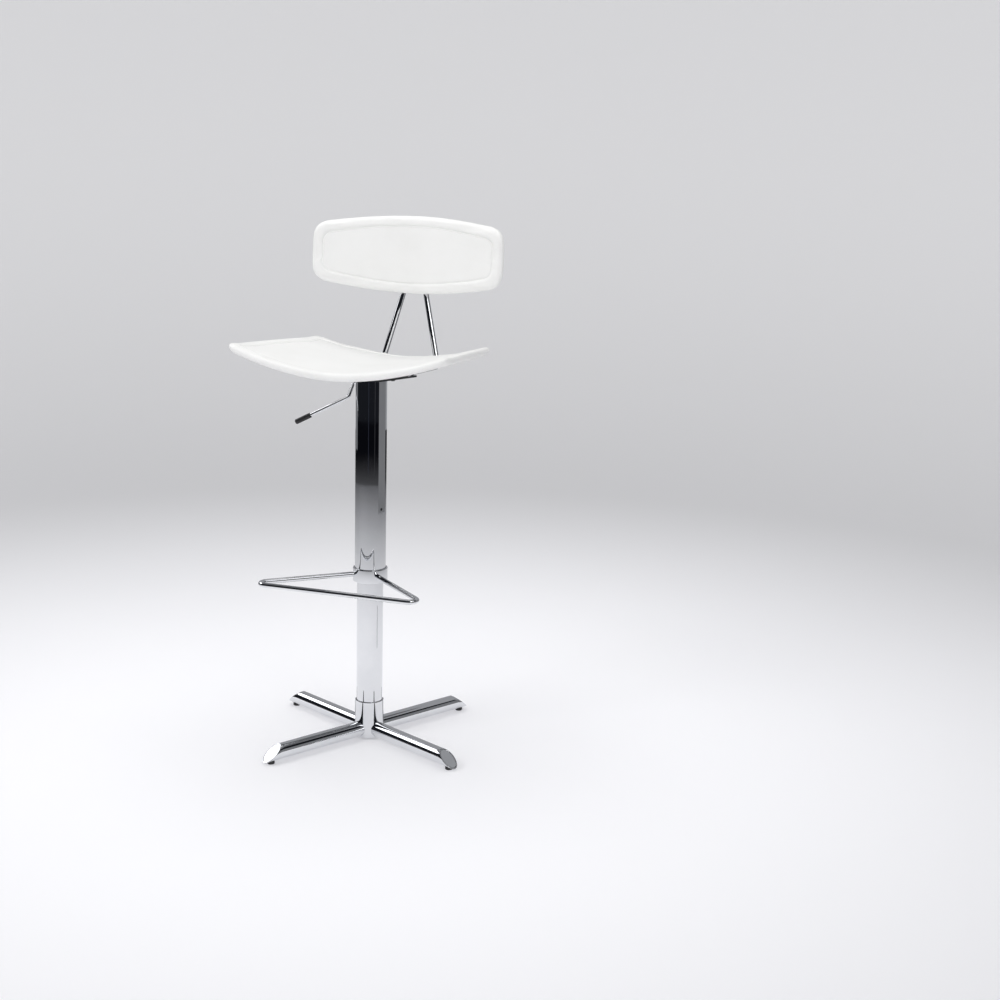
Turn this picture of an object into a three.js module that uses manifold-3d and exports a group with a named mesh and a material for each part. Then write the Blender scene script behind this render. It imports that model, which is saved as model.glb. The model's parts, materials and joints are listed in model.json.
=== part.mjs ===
// Height-adjustable swivel stool: saddle seat, low backrest on a bent rod, footrest on the lifting
// column, four-legged tubular base. Millimetres, +Z up. The origin is the centre of the base on the
// floor, the column stands on the Z axis and the seat faces -Y.

import * as THREE from 'three';
import { mergeVertices } from 'three/addons/utils/BufferGeometryUtils.js';
import Module from 'manifold-3d';

const wasm = await Module();
wasm.setup();

// Clearances and facets
const GAP = 0.3; // between fixed pieces that touch
const RUNNING_GAP = 0.4; // radial, between pieces that slide or turn on each other
const HOLE_GAP = 0.3; // radial, round the shank of a screw
const SIDES = 48; // of large round pieces
const SMALL_SIDES = 20; // of screws, pins and rods
const BEND_STEPS = 6; // facets along a rod's bend

// Base
const GLIDE_HEIGHT = 5;
const GLIDE_RADIUS = 7;
const GLIDE_INSET = 18; // glide centre from the leg's tip
const GLIDE_SADDLE = 1.8; // how far its rim comes up round the leg
const GLIDE_STEM_RADIUS = 2.5;
const GLIDE_STEM_LENGTH = 4; // above the leg's underside
const LEG_RADIUS = 15;
const LEG_WALL = 2;
const LEG_REACH = 256; // tip of the leg's underside from the column axis
const LEG_CUT = 38; // how much shorter the leg's top is than its underside
const LEG_COUNT = 4;
const LEG_TURN = THREE.MathUtils.degToRad(62.7); // first leg from +X
const CAP_THICKNESS = 2;
const CAP_RECESS = 0.5;
const HUB_BOTTOM = 4.5;
const HUB_TOP = 76.7;
const HUB_WALL = 2.2;
const HUB_EDGE = 0.8; // chamfer

// Column
const STAND_RADIUS = 25.5;
const STAND_WALL = 2;
const STAND_TOP = 482;
const SLEEVE_RADIUS = 30;
const SLEEVE_WALL = 2;
const SLEEVE_BOTTOM = 318.8;
const BUSH_HEIGHT = 24;
const UPPER_BUSH_HEIGHT = 464; // its middle, where its screws are
const BUSH_SCREW_RADIUS = 2.6;
const BUSH_SCREW_TURNS = [-23, 67]; // degrees from +X
const BUSH_SCREW_RECESS = 0.4;

// Swivel bearing at the foot of the gas spring
const FOOT_PLATE_BOTTOM = 9;
const FOOT_PLATE_THICKNESS = 4;
const RACE_THICKNESS = 1.6;
const RACE_RADIUS = 13;
const BALL_CAGE_THICKNESS = 2.4;
const BUFFER_HEIGHT = 15;
const BUFFER_RADIUS = 13;
const STUB_RADIUS = 4; // foot of the piston rod
const CLIP_THICKNESS = 1.2;
const CLIP_RADIUS = 6.5;
const CLIP_GROOVE = 0.8;

// Gas spring
const PISTON_ROD_RADIUS = 5;
const PISTON_HEIGHT = 12;
const PISTON_DROP = 3; // left under the piston at full height
const CYLINDER_BOTTOM = 345;
const CYLINDER_TOP = 696;
const CYLINDER_RADIUS = 14;
const CYLINDER_WALL = 3;
const CYLINDER_FLOOR = 4;
const CYLINDER_HEAD = 12;
const CONE_BOTTOM = 654;
const CONE_TOP_RADIUS = 13.5;
const RELEASE_PIN_RADIUS = 3;
const RELEASE_PIN_TIP_RADIUS = 1.2;
const RELEASE_PIN_LENGTH = 22;
const RELEASE_PIN_SHOW = 6; // above the cylinder

// Socket that takes the gas spring's cone
const SOCKET_BOTTOM = 656;
const SOCKET_HEIGHT = 38;
const SOCKET_RADIUS = 18;
const SOCKET_FLANGE = 8;

// Footrest
const COLLAR_WALL = 3.3;
const COLLAR_HEIGHT = 26;
const COLLAR_EDGE = 1;
const COLLAR_SCREW_RADIUS = 3;
const COLLAR_SCREW_TURN = 121; // degrees from +X
const FOOT_ROD_RADIUS = 5;
const FOOT_ROD_HEIGHT = 333;
const FOOT_REACH = 165; // front bar from the column axis
const FOOT_SPREAD = THREE.MathUtils.degToRad(47.5); // each side rod from the front
const FOOT_BEND = 14;

// Release lever
const LEVER_RADIUS = 3.5;
const LEVER_BEND = 8;
const LEVER_PIVOT_REACH = 16; // pivot from the column axis
const LEVER_INNER_END = 4; // past the column axis
const LEVER_BARREL_RADIUS = 4;
const LEVER_BARREL_LENGTH = 12;
const LEVER_PIN_RADIUS = 2;
const LEVER_ELBOW = [-37, 0]; // X and Y, at the pivot's height
const LEVER_KNEE = new THREE.Vector3(-44, -9, 677);
const LEVER_TIP = new THREE.Vector3(-147, -26, 623);
const LEVER_SLOT_WIDTH = 11;
const LEVER_SLOT_BELOW = 9; // slot below the lever's axis
const BRACKET_LENGTH = 12;
const BRACKET_SHEET = 1.7;
const BRACKET_BELOW = 5.5; // ear below the pivot
const GRIP_RADIUS = 5;
const GRIP_LENGTH = 34;
const GRIP_END_WALL = 2;

// Seat plate
const PLATE_BOTTOM = 714.2;
const PLATE_THICKNESS = 3;
const PLATE_FRONT = -33;
const PLATE_REAR = 62;
const PLATE_FRONT_HALF = 31;
const PLATE_REAR_HALF = 70;
const PLATE_CORNER = 5;
const BOLT_PLACES = [[38, 14], [42, 47]]; // X and Y, on both sides
const BOLT_RADIUS = 3;
const BOLT_HEAD_RADIUS = 5.5;
const BOLT_HEAD_HEIGHT = 3.2;
const BOLT_SOCKET = 2; // across half the hexagon
const SPACER_RADIUS = 6;
const NUT_RADIUS = 5;
const NUT_HEIGHT = 5;

// Seat cushion: corners, edge bows and the saddle's rise
const SEAT_PLAN = { lowHalf: 222, highHalf: 190, low: 175, high: 154, lowBow: 10, highBow: 26, corner: 18 };
const SEAT_NEST = 0.5; // how far its middle hangs below the top of the back rod
const SEAT_THICKNESS = 14;
const SEAT_RISE = 36.5; // at SEAT_RISE_AT from the middle
const SEAT_RISE_AT = 200;
const SEAT_RISE_POWER = 1.8;
const SEAT_TILT = 0.029; // fall per millimetre towards the rear
const SEAT_CORE_THICKNESS = 6;
const SEAT_SKIN = 2; // cover below the core
const CORE_INSET = 12;
const SHELL_STEPS = 28;

// Backrest: corners, edge bows and the curve round the sitter
const BACK_FACE = { lowHalf: 204, highHalf: 204, low: 58, high: 58, lowBow: 22, highBow: 22, corner: 26 };
const BACK_CENTRE = new THREE.Vector3(0, 212.5, 934.5); // middle of its rear face
const BACK_LEAN = THREE.MathUtils.degToRad(5);
const BACK_THICKNESS = 20;
const BACK_SAG = 34; // how far forward the ends come, at BACK_SAG_AT
const BACK_SAG_AT = 200;
const BACK_CORE_THICKNESS = 8;
const BACK_SKIN = 4; // cover behind the core

// Backrest bracket and rod
const BRACKET_FACE = { lowHalf: 52, highHalf: 52, low: 14, high: 14, lowBow: 12, highBow: 12, corner: 2 };
const BRACKET_DROP = 2.5; // bracket centre below the backrest's
const BRACKET_THICKNESS = 2.5;
const BRACKET_SCREW_SPACING = 70;
const BRACKET_SCREW_RADIUS = 2.5;
const BRACKET_SCREW_HEAD_RADIUS = 6.3;
const BRACKET_SCREW_HEAD_HEIGHT = 3.2;
const BRACKET_SCREW_LENGTH = 14;
const RECESS_WIDTH = 1.3;
const RECESS_LENGTH = 6.5;
const RECESS_DEPTH = 1.6;
const BOSS_RADIUS = 19.5;
const BOSS_THICKNESS = 8;
const BOSS_DROP = 18.6; // centre of its round top below the backrest's
const BOSS_WEB = 1.2; // thinnest, between the rod and the plate
const POCKET_HALF = 5; // recess under the rod's top bend
const POCKET_DROP = 19.5; // its top below the backrest's centre
const BACK_ROD_RADIUS = 5.5;
const BACK_ROD_HALF = 60; // between the two bends, halved
const BACK_ROD_FRONT = 36; // front ends, on the seat plate
const BACK_ROD_BEND = 12;
const BACK_ROD_TOP_BEND = 10.5;
const BACK_ROD_HEEL = { y: 190, z: 717.5 }; // sharp corner below the seat's rear edge
const BACK_ROD_PEAK = 955; // height of the sharp corner above the top bend

// Values worked out from the driving dimensions
const GLIDE_REACH = LEG_REACH - GLIDE_INSET;
const HUB_RADIUS = STAND_RADIUS + GAP + HUB_WALL;
const LEG_AXIS = GLIDE_HEIGHT + LEG_RADIUS;
const RACE_FLOOR = FOOT_PLATE_BOTTOM + FOOT_PLATE_THICKNESS + GAP;
const CAGE_FLOOR = RACE_FLOOR + RACE_THICKNESS + GAP;
const UPPER_RACE_FLOOR = CAGE_FLOOR + BALL_CAGE_THICKNESS + GAP;
const ROD_SHOULDER = UPPER_RACE_FLOOR + RACE_THICKNESS + GAP;
const BUSH_INNER = STAND_RADIUS + RUNNING_GAP;
const BUSH_OUTER = SLEEVE_RADIUS - SLEEVE_WALL - GAP;
const SLEEVE_TOP = PLATE_BOTTOM - GAP;
const COLLAR_RADIUS = SLEEVE_RADIUS + GAP + COLLAR_WALL;
const LEVER_HEIGHT = CYLINDER_TOP + RELEASE_PIN_SHOW + GAP + LEVER_RADIUS;
const PLATE_TOP = PLATE_BOTTOM + PLATE_THICKNESS;
const SEAT_UNDERSIDE = PLATE_TOP + GAP + 2 * BACK_ROD_RADIUS - SEAT_NEST;

const chrome = new THREE.MeshStandardMaterial({ color: 0xdfe1e4, roughness: 0.06, metalness: 1 });
const steel = new THREE.MeshStandardMaterial({ color: 0x8d9094, roughness: 0.4, metalness: 1 });
const darkSteel = new THREE.MeshStandardMaterial({ color: 0x2c2d30, roughness: 0.5, metalness: 0.6 });
const blackPlastic = new THREE.MeshStandardMaterial({ color: 0x17181a, roughness: 0.6, metalness: 0 });
const nylon = new THREE.MeshStandardMaterial({ color: 0xd9d6cc, roughness: 0.5, metalness: 0 });
const rubber = new THREE.MeshStandardMaterial({ color: 0x1d1d1e, roughness: 0.9, metalness: 0 });
const plywood = new THREE.MeshStandardMaterial({ color: 0xc19a6b, roughness: 0.7, metalness: 0 });
const leatherette = new THREE.MeshStandardMaterial({ color: 0xf1f1ee, roughness: 0.45, metalness: 0 });

// ---- Solids -------------------------------------------------------------------------------------

// Turns a closed geometry into a solid with its faces pointing out.
function solidOf(geometry) {
  const bare = geometry.clone();
  bare.deleteAttribute('normal');
  bare.deleteAttribute('uv');
  const merged = mergeVertices(bare, 1e-4);
  const build = (flip) => {
    const corners = merged.index.array;
    const triangles = [];
    for (let i = 0; i < corners.length; i += 3) {
      const [a, b, c] = corners.slice(i, i + 3);
      if (a !== b && b !== c && c !== a) triangles.push(a, flip ? c : b, flip ? b : c);
    }
    const vertProperties = new Float32Array(merged.attributes.position.array);
    const triVerts = new Uint32Array(triangles);
    return new wasm.Manifold(new wasm.Mesh({ numProp: 3, vertProperties, triVerts }));
  };
  const solid = build(false);
  return solid.volume() > 0 ? solid : build(true);
}

// Turns a solid back into a geometry.
function geometryOf(solid) {
  const { vertProperties, triVerts } = solid.getMesh();
  const geometry = new THREE.BufferGeometry();
  geometry.setAttribute('position', new THREE.BufferAttribute(new Float32Array(vertProperties), 3));
  geometry.setIndex(Array.from(triVerts));
  geometry.computeVertexNormals();
  return geometry;
}

function addPiece(parent, name, solid, material) {
  const mesh = new THREE.Mesh(geometryOf(solid), material.clone());
  mesh.name = name;
  parent.add(mesh);
  return mesh;
}

// A profile of [radius, height] pairs turned about Z.
function turnedShape(profile, sides = SIDES) {
  const points = profile.map(([radius, height]) => new THREE.Vector2(radius, height));
  return new THREE.LatheGeometry(points, sides).rotateX(Math.PI / 2);
}

function ringShape(inner, outer, bottom, top, sides = SIDES) {
  return turnedShape([[inner, bottom], [outer, bottom], [outer, top], [inner, top], [inner, bottom]], sides);
}

function discShape(radius, bottom, top, sides = SIDES) {
  return turnedShape([[0, bottom], [radius, bottom], [radius, top], [0, top]], sides);
}

const turned = (profile, sides) => solidOf(turnedShape(profile, sides));
const ring = (...sizes) => solidOf(ringShape(...sizes));
const disc = (...sizes) => solidOf(discShape(...sizes));

// A disc whose axis runs out from the column at a turn in degrees, between two radii and at a height.
function radialDisc(radius, from, to, turn, height, sides = SMALL_SIDES) {
  const geometry = discShape(radius, from, to, sides).rotateY(Math.PI / 2);
  return solidOf(geometry.rotateZ(THREE.MathUtils.degToRad(turn)).translate(0, 0, height));
}

// A curve that passes through stations of {point, tangent}, one step of the parameter apart.
class StationCurve extends THREE.Curve {
  constructor(stations) {
    super();
    this.stations = stations;
  }

  blend(t, key, target) {
    const place = t * (this.stations.length - 1);
    const index = Math.min(Math.floor(place), this.stations.length - 2);
    return target.lerpVectors(this.stations[index][key], this.stations[index + 1][key], place - index);
  }

  getPoint(t, target = new THREE.Vector3()) {
    return this.blend(t, 'point', target);
  }

  getTangent(t, target = new THREE.Vector3()) {
    return this.blend(t, 'tangent', target).normalize();
  }

  getUtoTmapping(u) {
    return u;
  }
}

// Stations along straight stretches between corners, with a round bend of its own radius at each corner.
function bentStations(corners, radii) {
  const heading = (i) => corners[i + 1].clone().sub(corners[i]).normalize();
  const stations = [{ point: corners[0], tangent: heading(0) }];
  radii.forEach((radius, i) => {
    const into = heading(i);
    const out = heading(i + 1);
    const turn = into.angleTo(out);
    const inward = out.clone().addScaledVector(into, -out.dot(into)).normalize();
    const start = corners[i + 1].clone().addScaledVector(into, -radius * Math.tan(turn / 2));
    for (let step = 0; step <= BEND_STEPS; step++) {
      const angle = (turn * step) / BEND_STEPS;
      const along = radius * Math.sin(angle);
      const across = radius * (1 - Math.cos(angle));
      const point = start.clone().addScaledVector(into, along).addScaledVector(inward, across);
      const tangent = into.clone().multiplyScalar(Math.cos(angle)).addScaledVector(inward, Math.sin(angle));
      stations.push({ point, tangent });
    }
  });
  stations.push({ point: corners[corners.length - 1], tangent: heading(corners.length - 2) });
  return stations;
}

// A round rod bent at its corners.
function bentRod(corners, radii, radius, sides = SMALL_SIDES) {
  const stations = bentStations(corners, radii);
  const section = new THREE.Shape().absarc(0, 0, radius, 0, 2 * Math.PI);
  const extrudePath = new StationCurve(stations);
  const options = { extrudePath, steps: stations.length - 1, curveSegments: sides / 2 };
  return solidOf(new THREE.ExtrudeGeometry(section, options));
}

// A four-cornered outline with bowed low and high edges, straight ends and rounded corners.
function barrelShape(plan, inset = 0) {
  const low = plan.low - inset;
  const high = plan.high - inset;
  const halves = { low: plan.lowHalf - inset, high: plan.highHalf - inset };
  const cut = Math.max(plan.corner - inset, 1);
  const endX = (y) => halves.low + ((halves.high - halves.low) * (y + low)) / (low + high);
  const lowY = (x) => -low - plan.lowBow * (1 - (x / halves.low) ** 2);
  const highY = (x) => high + plan.highBow * (1 - (x / halves.high) ** 2);
  const edge = (reach, height) => {
    const steps = SHELL_STEPS / 2;
    const across = Array.from({ length: steps + 1 }, (_, i) => reach * ((2 * i) / steps - 1));
    return across.map((x) => [x, height(x)]);
  };
  const shape = new THREE.Shape();
  const lowEdge = edge(halves.low - cut, lowY);
  const highEdge = edge(cut - halves.high, highY);
  shape.moveTo(...lowEdge[0]);
  lowEdge.slice(1).forEach((point) => shape.lineTo(...point));
  shape.quadraticCurveTo(halves.low, -low, endX(cut - low), cut - low);
  shape.lineTo(endX(high - cut), high - cut);
  shape.quadraticCurveTo(halves.high, high, ...highEdge[0]);
  highEdge.slice(1).forEach((point) => shape.lineTo(...point));
  shape.quadraticCurveTo(-halves.high, high, -endX(high - cut), high - cut);
  shape.lineTo(-endX(cut - low), cut - low);
  shape.quadraticCurveTo(-halves.low, -low, ...lowEdge[0]);
  return shape;
}

function prismShape(shape, bottom, top, curveSegments = 5) {
  const options = { depth: top - bottom, bevelEnabled: false, curveSegments };
  return new THREE.ExtrudeGeometry(shape, options).translate(0, 0, bottom);
}

const prism = (...sizes) => solidOf(prismShape(...sizes));

// A slab that bends along X, from one offset above a surface height(x, y) to another.
function bentSlab(halfX, halfY, height, from, to) {
  const positions = [];
  for (let i = 0; i <= SHELL_STEPS; i++) {
    const x = halfX * ((2 * i) / SHELL_STEPS - 1);
    for (const [y, offset] of [[-halfY, from], [halfY, from], [halfY, to], [-halfY, to]]) {
      positions.push(x, y, height(x, y) + offset);
    }
  }
  const last = 4 * SHELL_STEPS;
  const index = [0, 1, 2, 0, 2, 3, last, last + 2, last + 1, last, last + 3, last + 2];
  for (let i = 0; i < SHELL_STEPS; i++) {
    for (let side = 0; side < 4; side++) {
      const near = 4 * i + side;
      const next = 4 * i + ((side + 1) % 4);
      index.push(near, near + 4, next + 4, near, next + 4, next);
    }
  }
  const geometry = new THREE.BufferGeometry();
  geometry.setAttribute('position', new THREE.Float32BufferAttribute(positions, 3));
  geometry.setIndex(index);
  return solidOf(geometry);
}

// The part of a bent slab inside an outline.
function shell(plan, inset, height, from, to) {
  const halfX = Math.max(plan.lowHalf, plan.highHalf) + 10;
  const halfY = Math.max(plan.low + plan.lowBow, plan.high + plan.highBow) + 10;
  const reach = 4 * halfX;
  return bentSlab(halfX, halfY, height, from, to).intersect(prism(barrelShape(plan, inset), -reach, reach));
}

// A box from one corner to the other.
function box(low, high) {
  const size = high.map((value, i) => value - low[i]);
  const centre = high.map((value, i) => (value + low[i]) / 2);
  return solidOf(new THREE.BoxGeometry(...size).translate(...centre));
}

// ---- Base ---------------------------------------------------------------------------------------

// A leg lies along +X; its end is cut so that the face looks up and outwards.
function legEndSlab(from, to) {
  const tilt = Math.atan2(LEG_CUT, 2 * LEG_RADIUS);
  const size = 6 * LEG_RADIUS;
  const slab = new THREE.BoxGeometry(to - from, size, 2 * size).translate((from + to) / 2, 0, 0);
  return solidOf(slab.rotateY(-tilt).translate(LEG_REACH, 0, GLIDE_HEIGHT));
}

function alongLeg(geometry) {
  return solidOf(geometry.rotateY(Math.PI / 2).translate(0, 0, LEG_AXIS));
}

function makeLeg() {
  const tube = alongLeg(ringShape(LEG_RADIUS - LEG_WALL, LEG_RADIUS, 0, LEG_REACH));
  const hubSpace = disc(HUB_RADIUS + GAP, 0, HUB_TOP);
  const stemHole = disc(GLIDE_STEM_RADIUS + HOLE_GAP, 0, LEG_AXIS, SMALL_SIDES);
  const holeMesh = geometryOf(stemHole).translate(GLIDE_REACH, 0, 0);
  return tube.subtract(legEndSlab(0, LEG_REACH)).subtract(hubSpace).subtract(solidOf(holeMesh));
}

function makeLegCap() {
  const core = alongLeg(discShape(LEG_RADIUS - LEG_WALL - GAP, 0, LEG_REACH));
  return core.intersect(legEndSlab(-CAP_RECESS - CAP_THICKNESS, -CAP_RECESS));
}

function makeGlide() {
  const top = GLIDE_HEIGHT + GLIDE_SADDLE;
  const foot = turned([[0, 0], [GLIDE_RADIUS - 1, 0], [GLIDE_RADIUS, 1], [GLIDE_RADIUS, top], [0, top]]);
  const legSpace = solidOf(discShape(LEG_RADIUS + GAP, -LEG_REACH, LEG_REACH)
    .rotateY(Math.PI / 2).translate(0, 0, LEG_AXIS));
  const stem = disc(GLIDE_STEM_RADIUS, GLIDE_HEIGHT - 2, GLIDE_HEIGHT + GLIDE_STEM_LENGTH, SMALL_SIDES);
  return foot.subtract(legSpace).add(stem);
}

function addBase(stool) {
  const inner = STAND_RADIUS + GAP;
  const hub = [[inner, HUB_BOTTOM], [HUB_RADIUS - HUB_EDGE, HUB_BOTTOM], [HUB_RADIUS, HUB_BOTTOM + HUB_EDGE],
    [HUB_RADIUS, HUB_TOP - HUB_EDGE], [HUB_RADIUS - HUB_EDGE, HUB_TOP], [inner, HUB_TOP], [inner, HUB_BOTTOM]];
  addPiece(stool, 'hub', turned(hub), chrome);
  for (let i = 0; i < LEG_COUNT; i++) {
    const spoke = new THREE.Group();
    spoke.rotation.z = LEG_TURN + (2 * Math.PI * i) / LEG_COUNT;
    stool.add(spoke);
    addPiece(spoke, `leg_${i + 1}`, makeLeg(), chrome);
    addPiece(spoke, `leg_cap_${i + 1}`, makeLegCap(), chrome);
    addPiece(spoke, `glide_${i + 1}`, makeGlide(), blackPlastic).position.x = GLIDE_REACH;
  }
  addPiece(stool, 'stand_tube', ring(STAND_RADIUS - STAND_WALL, STAND_RADIUS, RACE_FLOOR, STAND_TOP), chrome);
}

// ---- Swivel bearing and gas spring --------------------------------------------------------------

function addSwivel(stool) {
  const bore = STUB_RADIUS + RUNNING_GAP;
  const plateTop = FOOT_PLATE_BOTTOM + FOOT_PLATE_THICKNESS;
  addPiece(stool, 'foot_plate', ring(bore, STAND_RADIUS, FOOT_PLATE_BOTTOM, plateTop), steel);
  const race = (floor) => ring(bore, RACE_RADIUS, floor, floor + RACE_THICKNESS);
  addPiece(stool, 'lower_race', race(RACE_FLOOR), steel);
  const cage = ring(bore, RACE_RADIUS, CAGE_FLOOR, CAGE_FLOOR + BALL_CAGE_THICKNESS);
  addPiece(stool, 'ball_cage', cage, nylon);
  addPiece(stool, 'upper_race', race(UPPER_RACE_FLOOR), steel);
  const bufferFloor = ROD_SHOULDER + GAP;
  const buffer = ring(PISTON_ROD_RADIUS + GAP, BUFFER_RADIUS, bufferFloor, bufferFloor + BUFFER_HEIGHT);
  addPiece(stool, 'rubber_buffer', buffer, rubber);
  addPistonRod(stool);
}

function addPistonRod(stool) {
  const clipTop = FOOT_PLATE_BOTTOM - RUNNING_GAP;
  const grooveBottom = clipTop - CLIP_THICKNESS - GAP;
  const grooveTop = clipTop + GAP;
  const waist = STUB_RADIUS - CLIP_GROOVE;
  const pistonFloor = CYLINDER_BOTTOM + CYLINDER_FLOOR + PISTON_DROP;
  const pistonRadius = CYLINDER_RADIUS - CYLINDER_WALL - RUNNING_GAP;
  const end = grooveBottom - CLIP_THICKNESS / 2;
  const profile = [[0, end], [STUB_RADIUS, end], [STUB_RADIUS, grooveBottom], [waist, grooveBottom],
    [waist, grooveTop], [STUB_RADIUS, grooveTop], [STUB_RADIUS, ROD_SHOULDER],
    [PISTON_ROD_RADIUS, ROD_SHOULDER], [PISTON_ROD_RADIUS, pistonFloor], [pistonRadius, pistonFloor],
    [pistonRadius, pistonFloor + PISTON_HEIGHT], [0, pistonFloor + PISTON_HEIGHT]];
  addPiece(stool, 'piston_rod', turned(profile, SMALL_SIDES * 2), steel);
  addPiece(stool, 'retaining_clip', ring(waist + GAP, CLIP_RADIUS, clipTop - CLIP_THICKNESS, clipTop), steel);
}

// Radius of the gas spring's outside at a height on its cone.
function coneRadius(height) {
  const share = (height - CONE_BOTTOM) / (CYLINDER_TOP - CONE_BOTTOM);
  return CYLINDER_RADIUS + (CONE_TOP_RADIUS - CYLINDER_RADIUS) * share;
}

function addGasSpring(stool) {
  const bore = CYLINDER_RADIUS - CYLINDER_WALL;
  const rodHole = PISTON_ROD_RADIUS + RUNNING_GAP;
  const pinHole = RELEASE_PIN_RADIUS + RUNNING_GAP;
  const floorTop = CYLINDER_BOTTOM + CYLINDER_FLOOR;
  const headBottom = CYLINDER_TOP - CYLINDER_HEAD;
  const profile = [[rodHole, CYLINDER_BOTTOM], [CYLINDER_RADIUS, CYLINDER_BOTTOM],
    [CYLINDER_RADIUS, CONE_BOTTOM], [CONE_TOP_RADIUS, CYLINDER_TOP], [pinHole, CYLINDER_TOP],
    [pinHole, headBottom], [bore, headBottom],
    [bore, floorTop], [rodHole, floorTop], [rodHole, CYLINDER_BOTTOM]];
  addPiece(stool, 'gas_cylinder', turned(profile), darkSteel);
  const pinTop = CYLINDER_TOP + RELEASE_PIN_SHOW;
  const pinShoulder = pinTop - RELEASE_PIN_SHOW / 2;
  const pin = [[0, pinTop - RELEASE_PIN_LENGTH], [RELEASE_PIN_RADIUS, pinTop - RELEASE_PIN_LENGTH],
    [RELEASE_PIN_RADIUS, pinShoulder], [RELEASE_PIN_TIP_RADIUS, pinTop], [0, pinTop]];
  addPiece(stool, 'release_pin', turned(pin, SMALL_SIDES), steel);
  const socketTop = SOCKET_BOTTOM + SOCKET_HEIGHT;
  const flangeFloor = socketTop - SOCKET_FLANGE;
  const mouth = coneRadius(SOCKET_BOTTOM) + GAP;
  const socket = [[mouth, SOCKET_BOTTOM], [SOCKET_RADIUS, SOCKET_BOTTOM], [SOCKET_RADIUS, flangeFloor],
    [BUSH_OUTER, flangeFloor], [BUSH_OUTER, socketTop], [coneRadius(socketTop) + GAP, socketTop],
    [mouth, SOCKET_BOTTOM]];
  addPiece(stool, 'cone_socket', turned(socket), steel);
}

// ---- Lifting sleeve and footrest ----------------------------------------------------------------

function addSleeve(stool) {
  const holes = BUSH_SCREW_TURNS.map((turn) =>
    radialDisc(BUSH_SCREW_RADIUS + HOLE_GAP, 0, 2 * SLEEVE_RADIUS, turn, UPPER_BUSH_HEIGHT));
  const inner = SLEEVE_RADIUS - SLEEVE_WALL;
  const slotHalf = LEVER_SLOT_WIDTH / 2;
  const slotFloor = LEVER_HEIGHT - LEVER_SLOT_BELOW;
  const slot = box([-2 * SLEEVE_RADIUS, -slotHalf, slotFloor], [-SLEEVE_RADIUS / 2, slotHalf, PLATE_TOP]);
  const sleeve = ring(inner, SLEEVE_RADIUS, SLEEVE_BOTTOM, SLEEVE_TOP).subtract(slot);
  addPiece(stool, 'sleeve_tube', sleeve.subtract(holes[0]).subtract(holes[1]), chrome);
  const bushFloor = UPPER_BUSH_HEIGHT - BUSH_HEIGHT / 2;
  const bush = ring(BUSH_INNER, BUSH_OUTER, bushFloor, bushFloor + BUSH_HEIGHT);
  addPiece(stool, 'upper_bush', bush.subtract(holes[0]).subtract(holes[1]), nylon);
  const lowerBush = ring(BUSH_INNER, BUSH_OUTER, SLEEVE_BOTTOM, SLEEVE_BOTTOM + BUSH_HEIGHT);
  addPiece(stool, 'lower_bush', lowerBush, nylon);
  BUSH_SCREW_TURNS.forEach((turn, i) => {
    const outer = SLEEVE_RADIUS - BUSH_SCREW_RECESS;
    const body = radialDisc(BUSH_SCREW_RADIUS, BUSH_INNER + GAP, outer, turn, UPPER_BUSH_HEIGHT);
    const socket = radialDisc(BUSH_SCREW_RADIUS / 2, outer - 1.5, outer + 1, turn, UPPER_BUSH_HEIGHT, 6);
    addPiece(stool, `bush_screw_${i + 1}`, body.subtract(socket), darkSteel);
  });
}

function addFootrest(stool) {
  const inner = SLEEVE_RADIUS + GAP;
  const top = SLEEVE_BOTTOM + COLLAR_HEIGHT;
  const profile = [[inner, SLEEVE_BOTTOM], [COLLAR_RADIUS - COLLAR_EDGE, SLEEVE_BOTTOM],
    [COLLAR_RADIUS, SLEEVE_BOTTOM + COLLAR_EDGE], [COLLAR_RADIUS, top - COLLAR_EDGE],
    [COLLAR_RADIUS - COLLAR_EDGE, top], [inner, top], [inner, SLEEVE_BOTTOM]];
  const middle = SLEEVE_BOTTOM + COLLAR_HEIGHT / 2;
  const hole = radialDisc(COLLAR_SCREW_RADIUS + HOLE_GAP, 0, 2 * COLLAR_RADIUS, COLLAR_SCREW_TURN, middle);
  addPiece(stool, 'footrest_collar', turned(profile).subtract(hole), chrome);
  const screw = radialDisc(COLLAR_SCREW_RADIUS, SLEEVE_RADIUS + GAP, COLLAR_RADIUS, COLLAR_SCREW_TURN, middle);
  const socketEnds = [COLLAR_RADIUS - 2, COLLAR_RADIUS + 1];
  const socket = radialDisc(COLLAR_SCREW_RADIUS / 2, ...socketEnds, COLLAR_SCREW_TURN, middle, 6);
  addPiece(stool, 'collar_screw', screw.subtract(socket), darkSteel);
  const half = FOOT_REACH * Math.tan(FOOT_SPREAD);
  const start = SLEEVE_RADIUS * Math.sin(FOOT_SPREAD);
  const startY = -SLEEVE_RADIUS * Math.cos(FOOT_SPREAD);
  const corners = [[-start, startY], [-half, -FOOT_REACH], [half, -FOOT_REACH], [start, startY]];
  const route = corners.map(([x, y]) => new THREE.Vector3(x, y, FOOT_ROD_HEIGHT));
  const rod = bentRod(route, [FOOT_BEND, FOOT_BEND], FOOT_ROD_RADIUS);
  const collarSpace = disc(COLLAR_RADIUS + GAP, 0, SLEEVE_TOP);
  addPiece(stool, 'footrest_rod', rod.subtract(collarSpace), chrome);
}

// ---- Seat plate and lever -----------------------------------------------------------------------

const boltPlaces = BOLT_PLACES.flatMap(([x, y]) => [[-x, y], [x, y]]);

function upright(radius, bottom, top, [x, y], sides = SMALL_SIDES) {
  return solidOf(discShape(radius, bottom, top, sides).translate(x, y, 0));
}

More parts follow.
